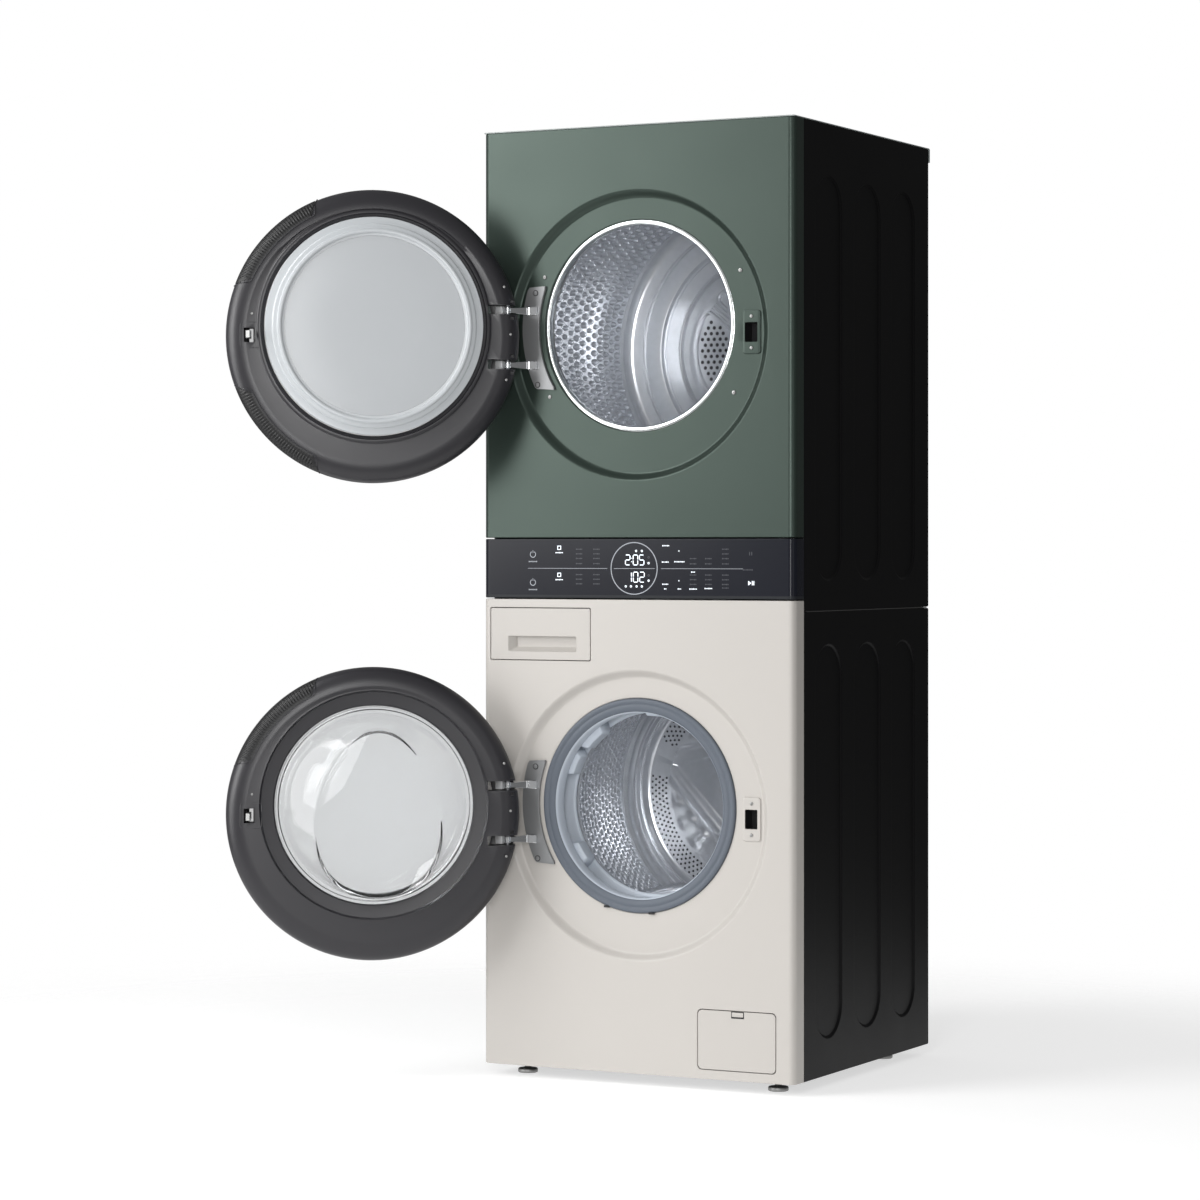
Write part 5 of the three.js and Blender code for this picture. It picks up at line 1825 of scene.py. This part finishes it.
def drawer():
    """The front with its scooped handle, the tray and its two partitions."""
    build = Builder()
    rim = soft_block(
        build, (drawer_low.x, drawer_low.z), (drawer_high.x, drawer_high.z), 0.003, 0.0, 0.0185
    )
    scoop = [
        (-0.2510, 0.7440, -0.1150, 0.7715, 0.0030, 0.0),
        (-0.2500, 0.7446, -0.1158, 0.7710, 0.0026, 0.0006),
        (-0.2470, 0.7470, -0.1162, 0.7708, 0.0024, 0.0050),
        (-0.2410, 0.7505, -0.1164, 0.7712, 0.0022, 0.0105),
        (-0.2395, 0.7525, -0.1168, 0.7725, 0.0020, 0.0135)
    ]
    made = build.loft(
        [rounded_box_loop((a, b), (c, d), radius, y) for a, b, c, d, radius, y in scoop]
    )
    build.cap(made[-1])
    build.fill_flat([rim, made[0]])
    left, right, floor, top = -0.273, -0.1007, 0.738, 0.806
    # Up the tray's outside, over its rim and down inside: inset, front, back, corner and height.
    walls = [
        (0.0020, 0.0185, 0.2380, 0.006, floor), (0.0, 0.0185, 0.2400, 0.008, floor + 0.002),
        (0.0, 0.0185, 0.2400, 0.008, top - 0.0004), (0.0004, 0.0189, 0.2396, 0.0076, top),
        (0.0018, 0.0203, 0.2382, 0.0066, top - 0.0004),
        (0.0020, 0.0205, 0.2380, 0.0060, floor + 0.008),
        (0.0060, 0.0245, 0.2340, 0.0040, floor + 0.0022)
    ]
    build.bar([plan_loop((left + inset, front), (right - inset, back), radius, z)
               for inset, front, back, radius, z in walls])
    for x in (-0.1672, -0.2200):
        build.box((x, 0.0200, floor + 0.0015), (x + 0.0018, 0.2385, top - 0.010))
    body = frame["nodes"]["detergent_drawer"]["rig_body"]
    return level_shading(
        piece("drawer_body", build, beige_plastic, body, ["detergent_drawer"], smooth=35)
    )


def service_cover():
    body = frame["nodes"]["service_cover"]["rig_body"]
    plate = Builder()
    plate.fill_flat(
        [
            soft_block(
                plate, (hatch_low.x, hatch_low.z), (hatch_high.x, hatch_high.z), 0.008, 0.0,
                hatch_high.y, 0.0010
            )
        ]
    )
    level_shading(piece("service_cover_plate", plate, beige_plastic, body, ["service_cover"]))
    # The pocket under the clip is a flat dark patch: painted shade for its recess.
    pocket = Builder()
    pocket.box((0.1820, -0.0002, 0.1262), (0.2060, 0.0004, 0.1378))
    piece("service_cover_pocket", pocket, dark_plastic, body, ["service_cover"])
    clip = Builder()
    clip.fill_flat(
        [soft_block(clip, (0.1834, 0.1290), (0.2046, 0.1366), 0.0012, -0.0010, 0.0003, 0.0006)]
    )
    piece("service_cover_clip", clip, beige_plastic, body, ["service_cover"])


drawer()
service_cover()
print("drawer and service cover done")

# %% [markdown]
# ## Locks, hinge plates and arms
# A pressed plate surrounds each lock's slot, in the colour of its front. The hinge plate is a
# grey arc with rounded edges and a countersunk screw at each end. Two plated arms stand on it and
# taper towards the pin, and a square knuckle on the door closes round the pin from the other
# side.

# %% Locks
LOCK_PLATE = (0.1985, 0.2322, 0.0372)  # left, right and half height
LOCK_FACE = DISH_DEPTH - 0.0024
LOCK_SCREW = (0.2155, 0.0268)  # across, and above and below the middle


def lock(machine, material):
    """The pressed plate, its slot, the dark well behind it, and two screws."""
    node = f"{machine}_door_lock"
    middle = dish_height[machine]
    build = Builder()
    left, right, half = LOCK_PLATE
    rim = soft_block(build, (left, middle - half), (right, middle + half), 0.005, LOCK_FACE,
                     DISH_DEPTH - 0.0001, 0.0014, closed=False)
    left, right, half = LOCK_SLOT
    slot = [
        rounded_box_loop(
            (left + s, middle - half + s), (right - s, middle + half - s), SLOT_CORNER, y
        )
        for s, y in ((-0.0006, LOCK_FACE), (0, DISH_DEPTH - 0.0018), (0, DISH_DEPTH + 0.002))
    ]
    build.fill_flat([rim, build.loft(slot)[0]])
    plate = piece(f"{machine}_lock_plate", build, material, "cabinet", [node])
    face_towards(plate, TO_FRONT)
    level_shading(plate)
    well = Builder()
    made = well.loft(
        [
            rounded_box_loop((left, middle - half), (right, middle + half), SLOT_CORNER, y)
            for y in (DISH_DEPTH - 0.0016, 0.0385)
        ]
    )
    well.cap(made[-1])
    shaft = piece(
        f"{machine}_lock_well", well.mesh("lock_well", outward=False), dark_plastic, "cabinet",
        [node]
    )
    face_towards(shaft, TO_FRONT, lambda face: face.center.y)
    thicken(shaft, THIN_SHEET)
    across, rise = LOCK_SCREW
    places = [
        ((across, DISH_DEPTH - 0.0026, middle + z), TO_FRONT, UP, 0.0062)
        for z in (-rise, rise)
    ]
    copies(f"{machine}_lock_screws", screw_head(), places, zinc, "cabinet")


lock("dryer", green_enamel)
lock("washer", beige_plastic)


# %% Hinge plates
PLATE_INNER, PLATE_OUTER, PLATE_HALF = 0.193, 0.226, 0.0895


def hinge_plate(machine):
    node = f"{machine}_hinge_plate"
    centre = slope_centre(machine, 1)
    low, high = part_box(node)
    front, back = low.y, high.y
    half = [(0, back), (0, front + 0.0014), (0.0005, front + 0.0004), (0.0016, front)]
    section = [(PLATE_INNER + inset, y) for inset, y in half]
    section += [(PLATE_OUTER - inset, y) for inset, y in reversed(half)]
    rows = []
    steps = 48
    for i in range(steps + 1):
        draw = {0: 0.0022, 1: 0.0006, steps: 0.0022}.get(i, 0.0)  # rounds off the ends
        row = []
        for number, (r, y) in enumerate(section):
            top = math.pi - math.asin((PLATE_HALF - OPENING_RISE) / r)
            bottom = math.pi + math.asin((PLATE_HALF + OPENING_RISE) / r)
            angle = top + (bottom - top) * (i / steps)
            reach = r + (draw if number < 4 else -draw)
            row.append(Vector((reach * math.cos(angle), y, centre[1] + reach * math.sin(angle))))
        rows.append(row)
    build = Builder()
    build.bar(rows)
    level_shading(piece(f"{machine}_plate", build, plate_grey, "cabinet", [node], smooth=35))
    spots = [(-0.1993, dish_height[machine] + 0.0788), (-0.1952, dish_height[machine] - 0.0815)]
    # The countersinks are flat dark discs under the screw heads: painted shade.
    for name, template, lift, size, material in (
        ("sinks", disc(0.0052, 0.0002, 20), 0.0001, 1.0, dark_plastic),
        ("screws", screw_head(), 0.0003, 0.0080, plate_grey)
    ):
        places = [((x, front - lift, z), TO_FRONT, UP, size) for x, z in spots]
        copies(f"{machine}_plate_{name}", template, places, material, "cabinet")


# %% Hinge arms
HINGE_PIN = Vector(joints["dryer_door_swing"]["pos_m"][:2])
PIN_SLEEVE = 0.0056
# x, y, turn in degrees, thickness and height, from the foot on the plate to the pin.
ARM_PATH = (
    (-0.1955, 0.0036, 0, 0.0046, 0.0132), (-0.1965, 0.0036, 0, 0.0052, 0.0140),
    (-0.2070, 0.0034, 0, 0.0052, 0.0142), (-0.2112, 0.0018, 22, 0.0052, 0.0140),
    (-0.2145, -0.0018, 45, 0.0052, 0.0132), (-0.2180, -0.0068, 55, 0.0052, 0.0120),
    (-0.2235, -0.0150, 57, 0.0050, 0.0108), (-0.2290, -0.0232, 57, 0.0048, 0.0100),
    (-0.2330, -0.0290, 57, 0.0046, 0.0098),
)


def upright_rod(build, centre, radius, low, high):
    edge = 0.0006
    rows = (
        (radius - edge, low), (radius, low + edge), (radius, high - edge), (radius - edge, high)
    )
    build.bar([level_circle(centre, r, z, 32) for r, z in rows])


def hinge_arm(machine, level, height):
    """A plated arm from the hinge plate to the sleeve round the pin."""
    build = Builder()
    rows = []
    for x, y, turn, thick, tall in ARM_PATH:
        a = math.radians(turn)
        across = Vector((math.sin(a), -math.cos(a)))
        half, rise, edge = thick / 2, tall / 2, 0.0008
        loop = [
            (-half, -rise + edge), (-half + edge, -rise), (half - edge, -rise),
            (half, -rise + edge), (half, rise - edge), (half - edge, rise), (-half + edge, rise),
            (-half, rise - edge)
        ]
        rows.append([Vector((x + across.x * u, y + across.y * u, height + v)) for u, v in loop])
    build.bar(rows)
    upright_rod(build, HINGE_PIN, PIN_SLEEVE, height - PIN_SLEEVE, height + PIN_SLEEVE)
    piece(
        f"{machine}_{level}_arm", build, chrome, "cabinet", [f"{machine}_{level}_hinge_arm"],
        smooth=40
    )


def knuckle(machine, level, height):
    """A plated block behind the pin, drawn where it stands when the door is open."""
    build = Builder()
    x, y = HINGE_PIN.x - 0.0134, HINGE_PIN.y - 0.0040
    low, high = (x - 0.0064, height - 0.0075), (x + 0.0064, height + 0.0075)
    build.fill_flat([soft_block(build, low, high, 0.0014, y - 0.0050, y + 0.0050)])
    # Its near-white finish is a painted reflection.
    piece(
        f"{machine}_{level}_knuckle", build, knuckle_plate, f"{machine}_door",
        [f"{machine}_door_frame"]
    )


for machine in ("washer", "dryer"):
    hinge_plate(machine)
    for level, side in (("upper", 1), ("lower", -1)):
        for make in (hinge_arm, knuckle):
            make(machine, level, dish_height[machine] + side * ARM_RISE)

dish_screws = [(0.1937, 1.3975), (0.1815, 1.1896), (-0.1837, 1.3976), (-0.1738, 1.1886)]
places = [((x, DISH_DEPTH - 0.0002, z), TO_FRONT, UP, 0.0074) for x, z in dish_screws]
copies("dryer_dish_screws", screw_head(), places, zinc, "cabinet")
print("locks and hinges done")

# %% [markdown]
# ## Top, back and feet
# The lid is a flat sheet with soft edges and a folded rear lip. Each rear sheet carries a round
# cover that clears the drum bearing. The feet are turned pads on threaded rods with a lock nut.

# %% Lid and rear sheets
REAR_COVER_DEEP = 0.008


def lid():
    low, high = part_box("top_cover")
    build = Builder()
    folds = [
        (0.0014, 0.0021), (0.0004, 0.0019), (0, 0.0014), (0.0002, 0.0007), (0.0008, 0.0002),
        (0.0014, 0)
    ]
    build.bar(
        [
            plan_loop(
                (low.x + inset, low.y + inset), (high.x - inset, high.y - inset), 0.004,
                high.z - drop
            )
            for inset, drop in folds
        ]
    )
    build.box(
        (low.x + 0.0005, high.y - 0.0060, low.z),
        (high.x - 0.0005, high.y - 0.0003, high.z - 0.0016)
    )
    level_shading(piece("lid", build, lid_enamel, "cabinet", ["top_cover"]))


def rear_sheet(level, centre, radius):
    """A flat sheet with a round cover that stands out from it."""
    low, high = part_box(f"{level}_rear_panel")
    out, flat = high.y, high.y - REAR_COVER_DEEP
    build = Builder()
    made = build.loft([circle_at((0, centre), r, y) for r, y in (
        (radius + 0.0030, flat), (radius + 0.0010, flat + 0.0006), (radius - 0.0010, flat + 0.0022),
        (radius - 0.0050, out - 0.0020), (radius - 0.0070, out - 0.0006), (radius - 0.0090, out),
        (radius * 0.5, out))])
    build.fan(made[-1], (0, out, centre))
    folds = ((0.0010, 0), (0.0003, 0.0003), (0, 0.0010), (0, 0.0013))
    border = build.loft(
        [
            rounded_box_loop(
                (low.x + inset, low.z + inset), (high.x - inset, high.z - inset), 0.003, flat - drop
            )
            for inset, drop in folds
        ]
    )
    build.fill_flat([made[0], border[0]], (0, 1, 0))
    sheet = piece(f"{level}_back", build, black_enamel, "cabinet", [f"{level}_rear_panel"])
    face_towards(sheet, (0, 1, 0))
    thicken(sheet, THIN_SHEET)


lid()
rear_sheet("lower", washer_axis.y, 0.165)
rear_sheet("upper", dryer_ring.y, 0.235)


# %% Feet
THREAD_START, THREAD_END, THREAD_PITCH = 0.0100, 0.0440, 0.0015
NUT_ROWS = ((0.0104, 0.0130), (0.0112, 0.0136), (0.0112, 0.0190), (0.0104, 0.0196))


def foot(name):
    """A turned pad on a threaded rod, and the lock nut on it."""
    body = frame["nodes"][name]["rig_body"]
    low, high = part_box(name)
    middle = ((low.x + high.x) / 2, (low.y + high.y) / 2)
    profile = [
        (0.0160, 0.0), (0.0172, 0.0006), (0.0176, 0.0020), (0.0176, 0.0058), (0.0168, 0.0074),
        (0.0150, 0.0080), (0.0080, 0.0084), (0.0064, 0.0092)
    ]
    z = THREAD_START
    while z < THREAD_END:
        profile += [(0.0060, z), (0.0054, z + 0.0006), (0.0060, z + 0.0012)]
        z += THREAD_PITCH
    profile += [(0.0058, 0.0455), (0.0050, 0.0460)]
    pad, nut = Builder(), Builder()
    pad.bar([level_circle(middle, r, low.z + height, 40) for r, height in profile])
    piece(f"{name}_pad", pad, zinc, body, [name], smooth=40)
    nut.bar(
        [level_circle(middle, r, low.z + height, 6, math.radians(30)) for r, height in NUT_ROWS]
    )
    piece(f"{name}_nut", nut, dark_plastic, body, [name], smooth=20)


for name in ("front_left_foot", "front_right_foot", "rear_left_foot", "rear_right_foot"):
    foot(name)
print("top, back and feet done")

# %% [markdown]
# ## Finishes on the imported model
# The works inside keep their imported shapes, which no open door shows in detail. Each gets the
# finish of what it is: moulded tub, cast spider, rubber belt, finned exchanger. Only material
# slots change.

# %% Finishes on the CAD nodes
NODE_FINISH = {
    "base_frame": black_enamel, "divider_deck": zinc, "dispenser_housing": grey_plastic,
    "washer_tub": grey_plastic, "washer_stator": motor_paint, "left_tub_damper": dark_plastic,
    "right_tub_damper": dark_plastic, "drain_pump": grey_plastic, "dryer_front_bulkhead": zinc,
    "dryer_rear_duct": zinc, "drive_belt": belt_rubber, "dryer_motor": motor_paint,
    "heat_pump_compressor": black_enamel, "heat_exchanger": bare_aluminium,
    "washer_drum_shaft": bare_aluminium, "washer_rotor": zinc, "dryer_motor_shaft": shaft_steel,
    "blower_fan": dark_plastic, "left_drum_roller": belt_rubber, "right_drum_roller": belt_rubber,
    "lint_filter": dark_plastic, "pump_filter_cap": grey_plastic,
}
for machine in ("washer", "dryer"):
    NODE_FINISH[f"{machine}_door_hinge_pin"] = shaft_steel
    NODE_FINISH[f"{machine}_door_hook"] = zinc
for name, material in NODE_FINISH.items():
    slots = frame["nodes"][name].data.materials
    if slots:
        slots[0] = material
    else:
        slots.append(material)
shown = [name for name, node in frame["nodes"].items() if not node.hide_render]
print(
    "CAD nodes with a finish:", len(NODE_FINISH), "shown without one:",
    sorted(set(shown) - set(NODE_FINISH))
)
